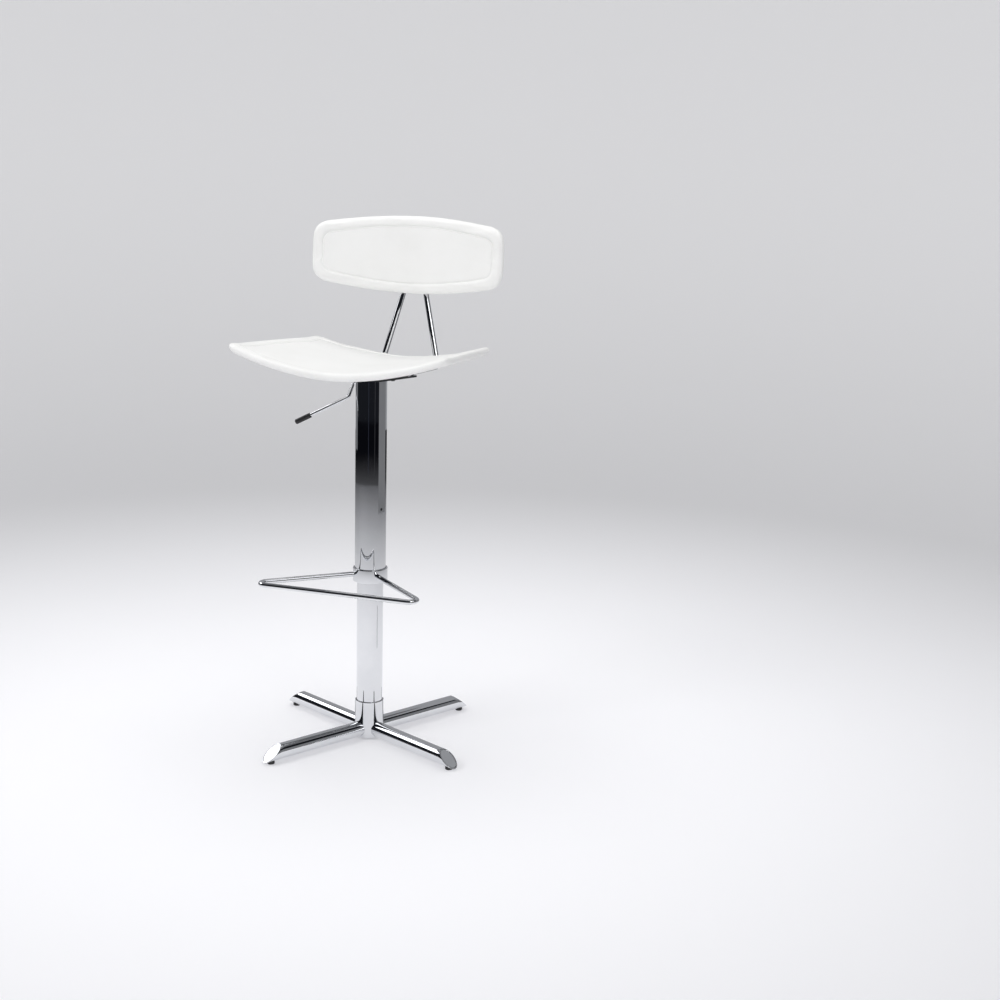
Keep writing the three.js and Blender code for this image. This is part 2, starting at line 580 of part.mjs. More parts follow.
function addSeatPlate(stool) {
  const plan = { lowHalf: PLATE_FRONT_HALF, highHalf: PLATE_REAR_HALF, low: -PLATE_FRONT, high: PLATE_REAR,
    lowBow: 0, highBow: 0, corner: PLATE_CORNER };
  const holes = boltPlaces.map((place) => upright(BOLT_RADIUS + HOLE_GAP, 0, 2 * PLATE_TOP, place));
  const blank = prism(barrelShape(plan), PLATE_BOTTOM, PLATE_TOP);
  addPiece(stool, 'seat_plate', holes.reduce((left, hole) => left.subtract(hole), blank), darkSteel);
}

function addLeverBracket(stool) {
  const innerHalf = LEVER_BARREL_LENGTH / 2 + RUNNING_GAP;
  const outerHalf = innerHalf + BRACKET_SHEET;
  const [left, right] = [-1, 1].map((side) => -LEVER_PIVOT_REACH + (side * BRACKET_LENGTH) / 2);
  const bottom = LEVER_HEIGHT - BRACKET_BELOW;
  const top = PLATE_BOTTOM - GAP;
  const block = box([left, -outerHalf, bottom], [right, outerHalf, top]);
  const inside = box([left - 1, -innerHalf, bottom - 1], [right + 1, innerHalf, top - BRACKET_SHEET]);
  const crossDisc = (radius, half) => solidOf(discShape(radius, -half, half, SMALL_SIDES)
    .rotateX(Math.PI / 2).translate(-LEVER_PIVOT_REACH, 0, LEVER_HEIGHT));
  const bracket = block.subtract(inside).subtract(crossDisc(LEVER_PIN_RADIUS + HOLE_GAP, 2 * outerHalf));
  addPiece(stool, 'lever_bracket', bracket, steel);
  addPiece(stool, 'lever_pin', crossDisc(LEVER_PIN_RADIUS, outerHalf + 1), steel);
  return crossDisc;
}

function addLever(stool) {
  const crossDisc = addLeverBracket(stool);
  const inner = new THREE.Vector3(LEVER_INNER_END, 0, LEVER_HEIGHT);
  const elbow = new THREE.Vector3(...LEVER_ELBOW, LEVER_HEIGHT);
  const along = LEVER_TIP.clone().sub(LEVER_KNEE).normalize();
  const rodEnd = LEVER_TIP.clone().addScaledVector(along, -GRIP_END_WALL - GAP);
  const rod = bentRod([inner, elbow, LEVER_KNEE, rodEnd], [LEVER_BEND, LEVER_BEND], LEVER_RADIUS);
  const barrel = crossDisc(LEVER_BARREL_RADIUS, LEVER_BARREL_LENGTH / 2);
  const pinHole = crossDisc(LEVER_PIN_RADIUS + HOLE_GAP, LEVER_BARREL_LENGTH);
  addPiece(stool, 'lever_rod', rod.add(barrel).subtract(pinHole), chrome);
  const bore = LEVER_RADIUS + GAP;
  const profile = [[bore, 0], [GRIP_RADIUS - 1, 0], [GRIP_RADIUS, 1], [GRIP_RADIUS, GRIP_LENGTH - 1.5],
    [GRIP_RADIUS - 1.5, GRIP_LENGTH], [0, GRIP_LENGTH], [0, GRIP_LENGTH - GRIP_END_WALL],
    [bore, GRIP_LENGTH - GRIP_END_WALL], [bore, 0]];
  const grip = addPiece(stool, 'lever_grip', turned(profile, SMALL_SIDES), blackPlastic);
  grip.position.copy(LEVER_TIP).addScaledVector(along, -GRIP_LENGTH);
  grip.quaternion.setFromUnitVectors(new THREE.Vector3(0, 0, 1), along);
}

// ---- Seat ---------------------------------------------------------------------------------------

// Height of the seat's underside.
function seatHeight(x, y) {
  return SEAT_UNDERSIDE + SEAT_RISE * (Math.abs(x) / SEAT_RISE_AT) ** SEAT_RISE_POWER - SEAT_TILT * y;
}

function addSeatFixings(stool) {
  boltPlaces.forEach((place, i) => {
    const [x, y] = place;
    const under = seatHeight(Math.abs(x) - SPACER_RADIUS, y + SPACER_RADIUS);
    const nutFloor = seatHeight(x, y) + SEAT_SKIN + GAP + 0.5;
    const at = (profile, sides) => solidOf(turnedShape(profile, sides).translate(x, y, 0));
    const headTop = PLATE_BOTTOM - GAP;
    const headFloor = headTop - BOLT_HEAD_HEIGHT;
    const tip = nutFloor + NUT_HEIGHT - GAP;
    const bolt = at([[0, headFloor], [BOLT_HEAD_RADIUS - 2, headFloor], [BOLT_HEAD_RADIUS, headFloor + 1.8],
      [BOLT_HEAD_RADIUS, headTop], [BOLT_RADIUS, headTop], [BOLT_RADIUS, tip], [0, tip]], SMALL_SIDES);
    const socket = upright(BOLT_SOCKET, headFloor - 1, headFloor + 2, place, 6);
    addPiece(stool, `seat_bolt_${i + 1}`, bolt.subtract(socket), steel);
    const bore = BOLT_RADIUS + HOLE_GAP;
    const washer = (outer, bottom, top) =>
      solidOf(ringShape(bore, outer, bottom, top, SMALL_SIDES).translate(x, y, 0));
    addPiece(stool, `seat_spacer_${i + 1}`, washer(SPACER_RADIUS, PLATE_TOP + GAP, under - GAP), blackPlastic);
    addPiece(stool, `seat_nut_${i + 1}`, washer(NUT_RADIUS, nutFloor, nutFloor + NUT_HEIGHT), steel);
  });
}

function addSeat(stool) {
  addSeatFixings(stool);
  const coreFloor = SEAT_SKIN + GAP;
  const coreTop = coreFloor + SEAT_CORE_THICKNESS;
  const pierce = (solid, radius) => boltPlaces.reduce(
    (left, place) => left.subtract(upright(radius, 0, seatHeight(...place) + coreTop, place)), solid);
  const core = shell(SEAT_PLAN, CORE_INSET, seatHeight, coreFloor, coreTop);
  addPiece(stool, 'seat_core', pierce(core, NUT_RADIUS + HOLE_GAP), plywood);
  const room = shell(SEAT_PLAN, CORE_INSET - GAP, seatHeight, SEAT_SKIN, coreTop + GAP);
  const cover = shell(SEAT_PLAN, 0, seatHeight, 0, SEAT_THICKNESS).subtract(room);
  addPiece(stool, 'seat_cover', pierce(cover, BOLT_RADIUS + HOLE_GAP), leatherette);
}

// ---- Backrest -----------------------------------------------------------------------------------

// The backrest is built flat: X across, Y up its face, Z forwards from its rear face.
function backDepth(x) {
  return BACK_SAG * (x / BACK_SAG_AT) ** 2;
}

function addBracketScrew(back, name, x) {
  const seatFace = -BRACKET_THICKNESS - 2 * GAP;
  const headTop = seatFace - BRACKET_SCREW_HEAD_HEIGHT;
  const head = BRACKET_SCREW_HEAD_RADIUS;
  const tip = seatFace + BRACKET_SCREW_LENGTH;
  const body = turned([[0, headTop], [head * 0.6, headTop], [head * 0.9, headTop + 0.9], [head, headTop + 2],
    [head, seatFace], [BRACKET_SCREW_RADIUS, seatFace], [BRACKET_SCREW_RADIUS, tip], [0, tip]], SMALL_SIDES);
  const slot = (halfX, halfY) => box([-halfX, -halfY, headTop - 1], [halfX, halfY, headTop + RECESS_DEPTH]);
  const recess = slot(RECESS_LENGTH / 2, RECESS_WIDTH / 2).add(slot(RECESS_WIDTH / 2, RECESS_LENGTH / 2));
  addPiece(back, name, body.subtract(recess), chrome).position.set(x, -BRACKET_DROP, 0);
}

function addBackBracket(back) {
  const plateFloor = -GAP - BRACKET_THICKNESS;
  const screwAt = [-1, 1].map((side) => (side * BRACKET_SCREW_SPACING) / 2);
  const holeRadius = BRACKET_SCREW_RADIUS + HOLE_GAP;
  const holes = screwAt.map((x) => upright(holeRadius, 2 * plateFloor, BACK_THICKNESS, [x, 0]));
  const face = barrelShape(BRACKET_FACE);
  const plate = prism(face, plateFloor, -GAP).subtract(holes[0]).subtract(holes[1]);
  addPiece(back, 'bracket_plate', plate, chrome).position.y = -BRACKET_DROP;
  screwAt.forEach((x, i) => addBracketScrew(back, `bracket_screw_${i + 1}`, x));
}

// The boss grips the rod's top bend; the space for the rod is cut in the stool's own frame.
function makeBracketBoss(back, rodSpace) {
  const top = -2 * GAP - BRACKET_THICKNESS;
  const bottom = top - BOSS_THICKNESS;
  const round = upright(BOSS_RADIUS, bottom, top, [0, -BOSS_DROP], SIDES);
  const sides = box([-BOSS_RADIUS, -4 * BOSS_RADIUS, bottom], [BOSS_RADIUS, -BOSS_DROP, top]);
  const pocket = box([-POCKET_HALF, -4 * BOSS_RADIUS, bottom - 1], [POCKET_HALF, -POCKET_DROP, top + 1]);
  const face = geometryOf(prism(barrelShape(BRACKET_FACE), 2 * bottom, 0)).translate(0, -BRACKET_DROP, 0);
  const boss = round.add(sides).intersect(solidOf(face)).subtract(pocket);
  back.updateMatrix();
  return solidOf(geometryOf(boss).applyMatrix4(back.matrix)).subtract(rodSpace);
}

function addBackrest(stool) {
  const back = new THREE.Group();
  back.rotation.x = Math.PI / 2 - BACK_LEAN;
  back.position.copy(BACK_CENTRE);
  stool.add(back);
  const coreTop = BACK_SKIN + BACK_CORE_THICKNESS;
  const pierce = (solid) => [-1, 1].reduce((left, side) => {
    const place = [(side * BRACKET_SCREW_SPACING) / 2, -BRACKET_DROP];
    return left.subtract(upright(BRACKET_SCREW_RADIUS + HOLE_GAP, -GAP, coreTop + backDepth(place[0]), place));
  }, solid);
  const core = shell(BACK_FACE, CORE_INSET, backDepth, BACK_SKIN, coreTop);
  addPiece(back, 'backrest_core', pierce(core), plywood);
  const room = shell(BACK_FACE, CORE_INSET - GAP, backDepth, BACK_SKIN - GAP, coreTop + GAP);
  const cover = shell(BACK_FACE, 0, backDepth, 0, BACK_THICKNESS).subtract(room);
  addPiece(back, 'backrest_cover', pierce(cover), leatherette);
  addBackBracket(back);
  addPiece(stool, 'bracket_boss', makeBracketBoss(back, makeBackRod(BACK_ROD_RADIUS + GAP)), chrome);
  addPiece(stool, 'back_rod', makeBackRod(BACK_ROD_RADIUS), chrome);
}

// One rod: from the seat plate back under the seat, up behind it to the bracket, and down again.
function makeBackRod(radius) {
  const level = PLATE_TOP + GAP + BACK_ROD_RADIUS;
  const heel = BACK_ROD_HEEL;
  const drop = BRACKET_DROP + BRACKET_FACE.low + BRACKET_FACE.lowBow;
  const standOff = 3 * GAP + BRACKET_THICKNESS + BOSS_WEB + BACK_ROD_RADIUS;
  const nearY = BACK_CENTRE.y - drop * Math.sin(BACK_LEAN) + standOff * Math.cos(BACK_LEAN);
  const nearZ = BACK_CENTRE.z - drop * Math.cos(BACK_LEAN) - standOff * Math.sin(BACK_LEAN);
  const peakY = heel.y + ((nearY - heel.y) * (BACK_ROD_PEAK - heel.z)) / (nearZ - heel.z);
  const half = (side) => [[BACK_ROD_FRONT, level], [PLATE_REAR, level], [heel.y, heel.z]]
    .map(([y, z]) => new THREE.Vector3(side * BACK_ROD_HALF, y, z));
  const corners = [...half(-1), new THREE.Vector3(0, peakY, BACK_ROD_PEAK), ...half(1).reverse()];
  const radii = [BACK_ROD_BEND, BACK_ROD_BEND, BACK_ROD_TOP_BEND, BACK_ROD_BEND, BACK_ROD_BEND];
  return bentRod(corners, radii, radius);
}

const stool = new THREE.Group();
stool.name = 'swivel_stool';
addBase(stool);
addSwivel(stool);
addGasSpring(stool);
addSleeve(stool);
addFootrest(stool);
addSeatPlate(stool);
addLever(stool);
addSeat(stool);
addBackrest(stool);

export default stool;
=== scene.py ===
"""Gas-lift stool with a sewn seat and backrest: its upholstery, bright metal and studio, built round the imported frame."""

from __future__ import annotations

import json
import logging
import math
from dataclasses import dataclass, field
from enum import Enum
from typing import Any, Mapping, Sequence

import bmesh
import bpy
import numpy as np
from mathutils import Matrix, Vector

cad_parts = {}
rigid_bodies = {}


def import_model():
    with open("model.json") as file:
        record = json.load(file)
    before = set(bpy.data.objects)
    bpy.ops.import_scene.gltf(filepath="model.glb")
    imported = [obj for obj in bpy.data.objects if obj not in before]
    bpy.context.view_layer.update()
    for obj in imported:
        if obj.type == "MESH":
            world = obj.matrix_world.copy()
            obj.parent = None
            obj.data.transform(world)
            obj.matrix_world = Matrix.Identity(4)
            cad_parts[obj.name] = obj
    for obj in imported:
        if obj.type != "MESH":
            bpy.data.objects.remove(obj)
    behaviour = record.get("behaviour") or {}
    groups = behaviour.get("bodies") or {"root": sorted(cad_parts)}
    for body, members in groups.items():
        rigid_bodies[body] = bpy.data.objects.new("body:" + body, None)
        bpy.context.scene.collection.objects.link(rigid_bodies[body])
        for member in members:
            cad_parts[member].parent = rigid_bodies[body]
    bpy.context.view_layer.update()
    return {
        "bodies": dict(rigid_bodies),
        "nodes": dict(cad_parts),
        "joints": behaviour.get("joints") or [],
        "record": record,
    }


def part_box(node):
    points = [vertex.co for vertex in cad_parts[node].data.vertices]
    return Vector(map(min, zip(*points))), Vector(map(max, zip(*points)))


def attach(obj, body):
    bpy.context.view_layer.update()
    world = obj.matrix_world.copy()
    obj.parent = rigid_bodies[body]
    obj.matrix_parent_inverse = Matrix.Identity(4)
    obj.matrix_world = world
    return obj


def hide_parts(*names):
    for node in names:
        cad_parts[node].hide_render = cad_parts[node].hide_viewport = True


log = logging.getLogger("stool")

Array = np.ndarray
Object = bpy.types.Object
Material = bpy.types.Material
Colour = tuple[float, float, float]

MM = 0.001  # metres in a millimetre
SHARP = math.radians(35)  # edges that turn more than this stay crisp


class Body(Enum):
    """The frame's bodies that new pieces ride on."""

    BASE = "base"
    GAS_ROD = "gas_rod"
    SEAT = "seat"
    LEVER = "lever"


class Slot(Enum):
    """The record's material slots."""

    CHROME = "chrome"
    STEEL = "steel"
    DARK_STEEL = "dark_steel"
    BLACK_PLASTIC = "black_plastic"
    NYLON = "nylon"
    RUBBER = "rubber"
    PLYWOOD = "plywood"
    LEATHERETTE = "leatherette"


# ---------------------------------------------------------------- shader graphs


@dataclass(frozen=True)
class Value:
    """A number in a shader graph. Python's operators on it add Math nodes."""

    graph: Graph
    socket: bpy.types.NodeSocket

    def __add__(self, other: Value | float) -> Value:
        """Sum."""
        return self.graph.maths("ADD", self, other)

    def __radd__(self, other: float) -> Value:
        """Sum with a number on the left."""
        return self.graph.maths("ADD", other, self)

    def __sub__(self, other: Value | float) -> Value:
        """Difference."""
        return self.graph.maths("SUBTRACT", self, other)

    def __rsub__(self, other: float) -> Value:
        """Difference from a number on the left."""
        return self.graph.maths("SUBTRACT", other, self)

    def __mul__(self, other: Value | float) -> Value:
        """Product."""
        return self.graph.maths("MULTIPLY", self, other)

    def __rmul__(self, other: float) -> Value:
        """Product with a number on the left."""
        return self.graph.maths("MULTIPLY", other, self)

    def __truediv__(self, other: Value | float) -> Value:
        """Quotient."""
        return self.graph.maths("DIVIDE", self, other)

    def __pow__(self, other: Value | float) -> Value:
        """Power."""
        return self.graph.maths("POWER", self, other)

    def between(self, low: float, high: float) -> Value:
        """Share of the way from low to high, kept within 0 and 1, with soft ends.

        Args:
            low: Value that gives 0.
            high: Value that gives 1.

        Returns:
            The share.
        """
        settings = {"interpolation_type": "SMOOTHSTEP"}
        inputs = {"Value": self, "From Min": low, "From Max": high}
        return Value(self.graph, self.graph.node("ShaderNodeMapRange", settings, inputs).outputs["Result"])


class Graph:
    """A material's node tree, with one surface shader."""

    def __init__(self, name: str, shader: str = "ShaderNodeBsdfPrincipled") -> None:
        """Makes an empty material with its output and surface shader.

        Args:
            name: The material's name.
            shader: Node type of the surface shader.
        """
        self.material = bpy.data.materials.new(name)
        self.material.use_nodes = True
        self.tree = self.material.node_tree
        self.tree.nodes.clear()
        self.surface = self.node(shader)
        self.out = self.node("ShaderNodeOutputMaterial", inputs={"Surface": self.surface.outputs[0]})

    def node(
        self, kind: str, settings: Mapping[str, Any] | None = None, inputs: Mapping[str | int, Any] | None = None
    ) -> bpy.types.Node:
        """Adds any node.

        Args:
            kind: The node's type.
            settings: Its own properties, set first. "stops" holds a ramp's places and colours.
            inputs: Values, or links, of its sockets by name or number.

        Returns:
            The node.
        """
        made = self.tree.nodes.new(kind)
        for key, value in (settings or {}).items():
            if key == "stops":
                self._set_stops(made.color_ramp, value)
            else:
                setattr(made, key, value)
        for key, value in (inputs or {}).items():
            self.feed(made.inputs[key], value)
        return made

    @staticmethod
    def _set_stops(ramp: bpy.types.ColorRamp, stops: Sequence[tuple[float, Colour]]) -> None:
        """Gives a colour ramp its stops."""
        while len(ramp.elements) < len(stops):
            ramp.elements.new(0.5)
        for element, (place, colour) in zip(ramp.elements, stops):
            element.position = place
            element.color = (*colour, 1)

    def feed(self, socket: bpy.types.NodeSocket, value: Any) -> None:
        """Links a value to a socket, or sets it there if it is a plain number or colour."""
        if isinstance(value, Value):
            self.tree.links.new(value.socket, socket)
        elif isinstance(value, bpy.types.NodeSocket):
            self.tree.links.new(value, socket)
        else:
            socket.default_value = value

    def maths(self, operation: str, first: Value | float, second: Value | float) -> Value:
        """One Math node on two numbers."""
        return Value(self, self.node("ShaderNodeMath", {"operation": operation}, {0: first, 1: second}).outputs[0])

    def place(self, scale: Sequence[float] = (1, 1, 1)) -> bpy.types.NodeSocket:
        """Object coordinates in metres, stretched by a scale on each axis."""
        where = self.node("ShaderNodeTexCoord").outputs["Object"]
        return self.node("ShaderNodeMapping", inputs={"Vector": where, "Scale": tuple(scale)}).outputs["Vector"]

    def noise(self, scale: float, detail: float = 2, stretch: Sequence[float] = (1, 1, 1)) -> Value:
        """Smooth noise.

        Args:
            scale: Lumps to the metre.
            detail: Octaves.
            stretch: Scale on each axis.

        Returns:
            The noise, from about 0.3 to 0.7.
        """
        inputs = {"Vector": self.place(stretch), "Scale": scale, "Detail": detail, "Roughness": 0.55}
        return Value(self, self.node("ShaderNodeTexNoise", inputs=inputs).outputs["Fac"])

    def cells(self, scale: float) -> Value:
        """Distance from the middle of the nearest cell of a pebbled pattern, in cells."""
        settings = {"feature": "SMOOTH_F1"}
        inputs = {"Vector": self.place(), "Scale": scale, "Smoothness": 0.35, "Randomness": 0.9}
        return Value(self, self.node("ShaderNodeTexVoronoi", settings, inputs).outputs["Distance"])

    def blend(self, share: Value, low: Colour | bpy.types.NodeSocket, high: Colour) -> bpy.types.NodeSocket:
        """A colour between two, by a share. The low one may be another blend."""
        first = (*low, 1) if isinstance(low, tuple) else low
        inputs = {"Factor": share, 6: first, 7: (*high, 1)}
        return self.node("ShaderNodeMix", {"data_type": "RGBA"}, inputs).outputs[2]

    def bump(self, height: Value, depth: float, strength: float = 1.0) -> None:
        """Feeds the surface's normal from a height pattern.

        Args:
            height: The pattern, in its own units.
            depth: Metres for one unit of height.
            strength: Share of the effect.
        """
        inputs = {"Height": height, "Distance": depth, "Strength": strength}
        self.feed(self.surface.inputs["Normal"], self.node("ShaderNodeBump", inputs=inputs).outputs["Normal"])

    def dress(self, **sockets: Any) -> None:
        """Sets or links the surface shader's sockets, whose names have _ for a space."""
        for key, value in sockets.items():
            self.feed(self.surface.inputs[key.replace("_", " ")], value)


# ---------------------------------------------------------------- finishes


@dataclass(frozen=True)
class Leatherette:
    """Coated cloth with a fine pebbled grain and a slow change of tone."""

    low: Colour = (0.86, 0.86, 0.842)
    high: Colour = (0.9, 0.9, 0.886)
    pebbles: float = 820.0  # to the metre
    depth: float = 0.00011

    def make(self) -> Material:
        """Builds the material."""
        g = Graph("leatherette")
        grain = g.cells(self.pebbles) + g.noise(2600, 3) * 0.5
        tone = (g.noise(9, 3) * 0.75 + g.cells(self.pebbles) * 0.3).between(0.3, 0.72)
        g.dress(Base_Color=g.blend(tone, self.low, self.high), Roughness=0.4 + g.noise(60, 3) * 0.14)
        g.dress(Specular_IOR_Level=0.42, Sheen_Weight=0.05, Sheen_Roughness=0.4)
        g.bump(grain, self.depth)
        return g.material


@dataclass(frozen=True)
class Thread:
    """Twisted sewing thread."""

    low: Colour = (0.66, 0.66, 0.64)
    high: Colour = (0.83, 0.83, 0.81)

    def make(self) -> Material:
        """Builds the material."""
        g = Graph("thread")
        twist = g.noise(2400, 2, (1, 1, 3))
        g.dress(Base_Color=g.blend(twist.between(0.35, 0.65), self.low, self.high), Roughness=0.62)
        g.bump(twist, 0.0001)
        return g.material


@dataclass(frozen=True)
class Plating:
    """Polished plate, with the faint smears and polishing lines that it keeps."""

    name: str = "chrome"
    low: Colour = (0.765, 0.775, 0.795)
    high: Colour = (0.8, 0.808, 0.825)
    rough: float = 0.028

    def make(self) -> Material:
        """Builds the material."""
        g = Graph(self.name)
        smear = g.noise(22, 3)
        lines = g.noise(900, 2, (1, 1, 0.05))
        g.dress(Base_Color=g.blend(smear.between(0.3, 0.7), self.low, self.high), Metallic=1.0)
        g.dress(Roughness=self.rough + smear.between(0.42, 0.72) * 0.035)
        g.bump(lines + g.noise(30, 2) * 6, 0.0000022)
        return g.material


@dataclass(frozen=True)
class Zinc:
    """Dull plated steel with a brushed grain."""

    low: Colour = (0.4, 0.41, 0.43)
    high: Colour = (0.58, 0.59, 0.61)

    def make(self) -> Material:
        """Builds the material."""
        g = Graph("zinc")
        brushed = g.noise(1100, 3, (1, 0.06, 1))
        g.dress(Base_Color=g.blend(brushed.between(0.3, 0.7), self.low, self.high), Metallic=1.0)
        g.dress(Roughness=0.3 + brushed * 0.22)
        g.bump(brushed, 0.00002)
        return g.material


@dataclass(frozen=True)
class Moulded:
    """Paint, rubber or moulded plastic: one tone with a fine texture."""

    name: str
    low: Colour
    high: Colour
    rough: float
    texture: float  # lumps to the metre
    depth: float

    def make(self) -> Material:
        """Builds the material."""
        g = Graph(self.name)
        fine = g.noise(self.texture, 3)
        g.dress(Base_Color=g.blend(g.noise(35, 3).between(0.3, 0.7), self.low, self.high))
        g.dress(Roughness=self.rough + fine * 0.16)
        g.bump(fine, self.depth)
        return g.material


@dataclass(frozen=True)
class Plywood:
    """Bent plywood, with grain along the bend."""

    low: Colour = (0.42, 0.27, 0.14)
    high: Colour = (0.66, 0.47, 0.28)

    def make(self) -> Material:
        """Builds the material."""
        g = Graph("plywood")
        grain = g.noise(160, 4, (0.08, 1, 1))
        g.dress(Base_Color=g.blend(grain.between(0.3, 0.7), self.low, self.high), Roughness=0.55 + grain * 0.2)
        g.bump(grain, 0.0002)
        return g.material


FINISHES: Mapping[Slot, Any] = {
    Slot.CHROME: Plating(),
    Slot.STEEL: Zinc(),
    Slot.DARK_STEEL: Moulded("dark_steel", (0.018, 0.018, 0.02), (0.034, 0.034, 0.037), 0.34, 900, 0.00005),
    Slot.BLACK_PLASTIC: Moulded("black_plastic", (0.012, 0.012, 0.013), (0.024, 0.024, 0.026), 0.4, 1500, 0.00006),
    Slot.NYLON: Moulded("nylon", (0.68, 0.66, 0.6), (0.77, 0.75, 0.7), 0.42, 700, 0.00004),
    Slot.RUBBER: Moulded("rubber", (0.014, 0.014, 0.014), (0.03, 0.03, 0.03), 0.66, 1100, 0.00008),
    Slot.PLYWOOD: Plywood(),
    Slot.LEATHERETTE: Leatherette(),
}

# The frame's own solids that stay, by the slot of their finish.
KEPT_NODES: Mapping[Slot, Sequence[str]] = {
    Slot.CHROME: [
        *(f"leg_cap_{i}" for i in range(1, 5)), "stand_tube", "piston_rod", "sleeve_tube", "bracket_plate",
        "bracket_boss", "bracket_screw_1", "bracket_screw_2", "lever_pin",
    ],
    Slot.STEEL: [
        "foot_plate", "lower_race", "ball_cage", "upper_race", "retaining_clip", "cone_socket",
        "release_pin", "lever_bracket", *(f"seat_nut_{i}" for i in range(1, 5)),
    ],
    Slot.DARK_STEEL: ["gas_cylinder", "seat_plate", "bush_screw_1", "bush_screw_2", "collar_screw",
                      *(f"seat_bolt_{i}" for i in range(1, 5))],
    Slot.BLACK_PLASTIC: [*(f"glide_{i}" for i in range(1, 5)), "lever_grip"],
    Slot.NYLON: ["upper_bush", "lower_bush", *(f"seat_spacer_{i}" for i in range(1, 5))],
    Slot.RUBBER: ["rubber_buffer"],
    Slot.PLYWOOD: ["seat_core", "backrest_core"],
}


class Workshop:
    """Keeps one material for each slot and dresses pieces with them."""

    def __init__(self) -> None:
        """Builds every finish once."""
        self.materials = {slot: finish.make() for slot, finish in FINISHES.items()}
        self.thread = Thread().make()

    def dress(self, piece: Object, slot: Slot, material: Material | None = None) -> None:
        """Gives a new piece its finish."""
        piece.data.materials.append(material or self.materials[slot])

    def dress_nodes(self, nodes: Mapping[str, Object]) -> None:
        """Gives the frame's own solids their finishes and smooth round faces.

        Args:
            nodes: The frame's objects by name.
        """
        for slot, names in KEPT_NODES.items():
            for name in names:
                node = nodes[name]
                if not node.material_slots:
                    node.data.materials.append(None)
                for held in node.material_slots:
                    held.material = self.materials[slot]
                node.data.polygons.foreach_set("use_smooth", np.ones(len(node.data.polygons), bool))
                node.modifiers.new("Weld", "WELD").merge_threshold = 0.00001
                node.modifiers.new("Split", "EDGE_SPLIT").split_angle = SHARP
                node.modifiers.new("Shading", "WEIGHTED_NORMAL").mode = "CORNER_ANGLE"
                log.info("frame piece %s: %s", name, slot.value)


# ---------------------------------------------------------------- surfaces


def span(node: str) -> tuple[Array, Array]:
    """Lowest and highest corner of a frame solid, in millimetres."""
    low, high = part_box(node)
    return np.array(low) / MM, np.array(high) / MM


def grid_faces(rows: int, columns: int, loop_rows: bool = False) -> Array:
    """Quads of a grid whose columns close on themselves.

    Args:
        rows: Rows of points.
        columns: Points in a row.
        loop_rows: Whether the last row joins the first.

    Returns:
        One row of four point numbers for each quad.
    """
    row = np.arange(rows if loop_rows else rows - 1)[:, None]
    column = np.arange(columns)[None, :]
    below, beside = (row + 1) % rows, (column + 1) % columns
    corners = [row * columns + column, row * columns + beside, below * columns + beside, below * columns + column]
    return np.stack(corners, axis=-1).reshape(-1, 4)


def make_piece(name: str, points: Array, faces: Array, angle: float = SHARP) -> Object:
    """Turns points in millimetres and quads into a closed, smooth object whose poles and seams are merged.

    Args:
        name: The piece's name.
        points: One row for each point.
        faces: One row of point numbers for each face.
        angle: Edges that turn more than this stay crisp.

    Returns:
        The object, at the origin.
    """
    mesh = bpy.data.meshes.new(name)
    mesh.from_pydata((points.reshape(-1, 3) * MM).tolist(), [], faces.tolist())
    shape = bmesh.new()
    shape.from_mesh(mesh)
    bmesh.ops.remove_doubles(shape, verts=shape.verts, dist=1e-6)
    bmesh.ops.recalc_face_normals(shape, faces=shape.faces)
    shape.to_mesh(mesh)
    shape.free()
    mesh.shade_smooth()
    mesh.set_sharp_from_angle(angle=angle)
    piece = bpy.data.objects.new(name, mesh)
    bpy.context.scene.collection.objects.link(piece)
    return piece


def round_corners(profile: Sequence[tuple[float, float]], radius: float, steps: int = 5) -> Array:
    """Softens each inner corner of a profile with a short parabola between two points a radius away from it.

    Args:
        profile: Radius and height of each corner.
        radius: How far from the corner the curve starts, at most 0.45 of the side.
        steps: Stretches in each curve.

    Returns:
        The softened profile.
    """
    corners = np.array(profile, float)
    share = np.linspace(0, 1, steps + 1)[:, None]
    runs = [corners[:1]]
    for before, corner, after in zip(corners[:-2], corners[1:-1], corners[2:]):
        into, out = before - corner, after - corner
        start = corner + into * min(radius / np.linalg.norm(into), 0.45)
        end = corner + out * min(radius / np.linalg.norm(out), 0.45)
        runs.append((1 - share) ** 2 * start + 2 * share * (1 - share) * corner + share**2 * end)
    return np.vstack([*runs, corners[-1:]])


def turned(name: str, profile: Array, sides: int = 96, loop: bool = False) -> Object:
    """A profile turned round the column: radius times cosine and sine of the turn, and the height.

    Args:
        name: The piece's name.
        profile: Radius and height of each point.
        sides: Faces round it.
        loop: Whether the profile's last point joins its first.

    Returns:
        The piece.
    """
    turn = np.linspace(0, 2 * math.pi, sides, endpoint=False)
    ring = np.stack([np.cos(turn), np.sin(turn)], axis=-1)
    points = np.empty((len(profile), sides, 3))
    points[..., :2] = profile[:, None, :1] * ring
    points[..., 2] = profile[:, 1:2]
    return make_piece(name, points, grid_faces(len(profile), sides, loop))


